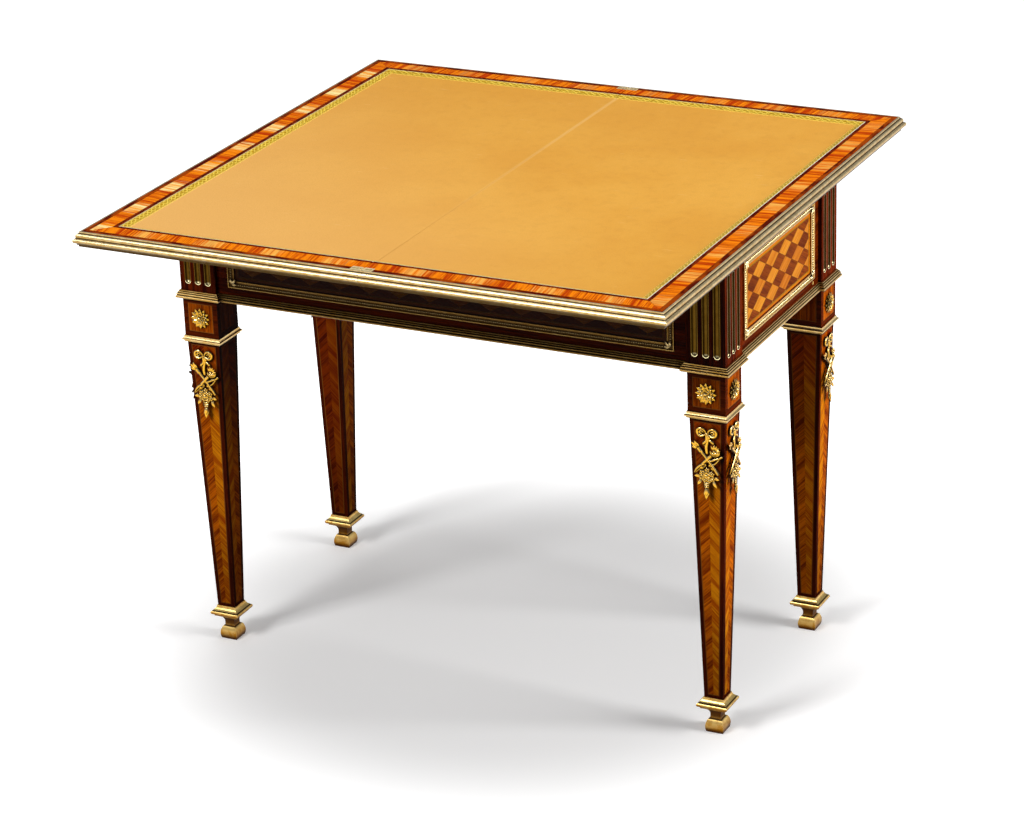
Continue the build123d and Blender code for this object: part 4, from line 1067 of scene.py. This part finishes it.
leather_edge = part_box("leaf_leather")[1].y
margin, bead, scallop_place = 13 * mm, 2.0 * mm, 10.6 * mm
hatch_pitch, wave_pitch, scallop_pitch = 2.6 * mm, 22 * mm, 7 * mm
leather, tree, skin = material("tan leather", Specular_IOR_Level=0.12)
x, y, z = where(tree)
spot = place(x, y, z)
from_side, from_end, on_side, along, inward = round_the_top(x, y, leather_edge)
clouds = noise(spot, 7.0, 4.0, 0.55).ease(0.3, 0.7)
small_clouds = noise(spot, 60.0, 4.0, 0.6).ease(0.45, 0.75)
back = y.ease(-0.2, 0.42) * (1 - x.ease(0.0, 0.36) * 0.9)
# Painted light: lighter towards the front left corner and darker towards the front right one.
lit_left_corner, shaded_right_corner = (0 - x - y).ease(-0.2, 0.8), (x - y).ease(0.3, 0.85)
grain = noise(spot, 520.0, 3.0, 0.7).ease(0.42, 0.66)
crease = (1 - abs(x).ease(0.7 * mm, 5 * mm)) * y.ease(-0.35, 0.3)
scuffs = noise(place(x * 30, y * 420, 0.0), 1.0, 3.0).ease(0.66, 0.74)
scuffs = scuffs * noise(spot, 14.0, 2.0).ease(0.5, 0.62)
specks = noise(spot, 700.0, 2.0).ease(0.72, 0.76) * noise(spot, 22.0, 2.0).ease(0.48, 0.6)
pebbles = node(tree, "TexVoronoi", {"Vector": spot, "Scale": 900.0}, feature="SMOOTH_F1")
wrinkle = noise(spot, 120.0, 4.0, 0.6, 0.6)

hatch, cross_hatch = (
    calc("SINE", (along + lean) * (math.tau / hatch_pitch)).ease(-0.2, 0.5)
    for lean in (inward * 0.8, inward * -0.8)
)
wave = calc("SINE", along * (math.tau / wave_pitch)) * 2.6 * mm
curls = line_at(inward, 5.6 * mm + wave, 1.0 * mm) + line_at(inward, 5.6 * mm - wave, 1.0 * mm)
eyes = line_at(abs(wave), 0.0, 1.0 * mm) * line_at(inward, 5.6 * mm, 1.3 * mm)
scallop = scallop_place + abs(calc("SINE", along * (math.pi / scallop_pitch))) * 1.5 * mm
rules = line_at(inward, 2.1 * mm, 0.3 * mm) + line_at(inward, 9.4 * mm, 0.3 * mm)
gold = least(curls + eyes + line_at(inward, scallop, 0.7 * mm) + rules, 1.0)
in_margin = short_of(inward, margin - 2.4 * mm)
rub = noise(spot, 130.0, 4.0, 0.65).ease(0.3, 0.5)
on_bead = short_of(inward, bead - 0.1 * mm)
catches_light = on_side * (x > 0) + (1 - on_side) * (y < 0)
colour = layered(
    (228, 162, 64),
    (clouds, (236, 174, 74)),
    (back * 0.5, (222, 156, 64)),
    (small_clouds * 0.25, (210, 146, 62)),
    (lit_left_corner * 0.85, (238, 182, 106)),
    (shaded_right_corner * 0.5, (220, 154, 52)),
    (grain * 0.3, (204, 142, 62)),
    (crease * 0.45, (246, 202, 124)),
    (scuffs * 0.45, (250, 214, 150)),
    (specks * 0.6, (150, 96, 40)),
    (in_margin, mixed(hatch * cross_hatch, (160, 116, 4), (226, 180, 24))),
    (gold * rub * 0.8, (248, 218, 88)),
    # Painted highlight: the bead is near white, most on the right and front sides, where it catches the
    # light.
    (on_bead * (0.25 + catches_light * 0.7), (255, 250, 226)),
)
roughness = 0.56 + wrinkle * 0.14 - crease * 0.1 - least(gold + on_bead, 1.0) * 0.22
tooling = gold * 0.8 + in_margin * (1 - hatch) * 0.4
relief = Flow(pebbles.outputs["Distance"]) * 0.3 + wrinkle * 0.16 + crease * 0.3 - tooling
coat_with(skin, colour, roughness, relief, 0.16 * mm)
tree.links.new((gold * rub * 0.12).socket, skin.inputs["Metallic"])
dress(leather, "leaf_leather", "flap_leather")


# Brass edge
# Drawn brass moulding mitred round the three outer edges of each leaf, flush with the wood: a
# thin lip, a broad round, a groove and a larger round over stepped fillets.

table_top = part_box("leaf_moulding")[1].z
edge_grooves = [(table_top - drop, half) for drop, half in ((2.1 * mm, 0.5 * mm), (8.6 * mm, 0.7 * mm))]
edge_tones = (248, 232, 186), (178, 140, 74), (44, 27, 5)
edge_foot = table_top - 15.5 * mm
# Painted shade below the foot of the lower round.
edge_brass = brass("edge brass", *edge_tones, 6 * mm, 120.0, grooves=edge_grooves, shade_below=edge_foot)
dress(edge_brass, "leaf_moulding", "flap_moulding")


# Fold hinges
# Flush brass plates let into the banding at each end of the fold, joined by a link between two
# pins, and held by countersunk screws.

hinge_tones = (255, 238, 190), (234, 200, 132), (64, 44, 16)
hinge_brass = brass("hinge brass", *hinge_tones, 1.5 * mm, 200.0, rough=0.42)
dress(hinge_brass, "leaf_hinge_plates", "flap_hinge_plates", "hinge_links", "hinge_pins")
screw_brass = brass("screw brass", (236, 204, 140), (190, 150, 84), (50, 32, 10), 1.2 * mm, 300.0)
dress(screw_brass, "leaf_screws", "flap_screws")


# Floor, lamps and camera
# A plain pale floor, which shows white and keeps the table's shadow, under soft lamps. The
# camera stands where the photograph was taken from.

def in_view(tree):
    """1 for what the camera, a reflection or glass looks at, and 0 for what only lights the table."""
    rays = node(tree, "LightPath").outputs
    return least(sum(Flow(rays[f"Is {ray} Ray"]) for ray in ("Camera", "Glossy", "Transmission")), 1.0)


floor = added(bpy.ops.mesh.primitive_plane_add, size=60.0)
floor.name = "floor"
floor_paint = bpy.data.materials.new("white floor")
floor_paint.use_nodes = True
tree = floor_paint.node_tree
tree.nodes.clear()
seen = in_view(tree)
x, y, z = where(tree)
# Painted light: the floor glows faintly near the middle and fully beyond 0.86 m, which keeps the shadow only
# under the table and washes out the lamps' longer shadows.
far = calc("SQRT", x * x + y * y).ease(0.36, 0.86)
matt = node(tree, "BsdfDiffuse", {"Color": mixed(seen, (0.16, 0.15, 0.14, 1), (0.9, 0.9, 0.9, 1))})
glow = node(tree, "Emission", {"Color": (1, 1, 1, 1), "Strength": seen * (0.11 + far * 0.83)})
both = node(tree, "AddShader", {0: matt.outputs[0], 1: glow.outputs[0]})
node(tree, "OutputMaterial", {"Surface": both.outputs[0]})
floor.data.materials.append(floor_paint)


def lamp(name, spot, aim, size, power):
    """A square soft lamp at a place, turned to its aim."""
    made = added(bpy.ops.object.light_add, type="AREA", location=spot)
    made.name = name
    made.data.shape = "SQUARE"
    made.data.size = size
    made.data.energy = power
    made.rotation_euler = (Vector(aim) - Vector(spot)).to_track_quat("-Z", "Y").to_euler()


lamp("overhead lamp", (-0.2, 0.6, 3.4), (0, 0, 0.6), 2.2, 42)
lamp("side lamp", (3.6, 0.3, 1.7), (0, 0, 0.5), 1.4, 110)
lamp("front lamp", (-1.7, -3.6, 3.5), (0, 0, 0.3), 1.5, 134)

world = bpy.context.scene.world or bpy.data.worlds.new("studio")
bpy.context.scene.world = world
world.use_nodes = True
tree = world.node_tree
tree.nodes.clear()
seen = in_view(tree)
height = Flow(node(tree, "SeparateXYZ", {0: node(tree, "TexCoord").outputs["Generated"]}).outputs[2])
strength = 0.07 + seen * 0.93 * (1 - height.ease(0.02, 0.2) * 0.75)
air = node(tree, "Background", {"Color": (1, 1, 1, 1), "Strength": strength})
node(tree, "OutputWorld", {"Surface": air.outputs[0]})

azimuth, elevation, roll = 26.68, 22.36, -2.0
camera = added(bpy.ops.object.camera_add, location=(2.138, -4.258, 2.332))
camera.name = "camera"
camera.data.sensor_width = 36
camera.data.lens = 119.67
turn, tilt, lean = (
    Matrix.Rotation(math.radians(angle), 4, axis)
    for angle, axis in ((azimuth, "Z"), (90 - elevation, "X"), (roll, "Z"))
)
camera.rotation_euler = (turn @ tilt @ lean).to_euler()
bpy.context.scene.camera = camera
bpy.context.scene.view_settings.view_transform = "Standard"
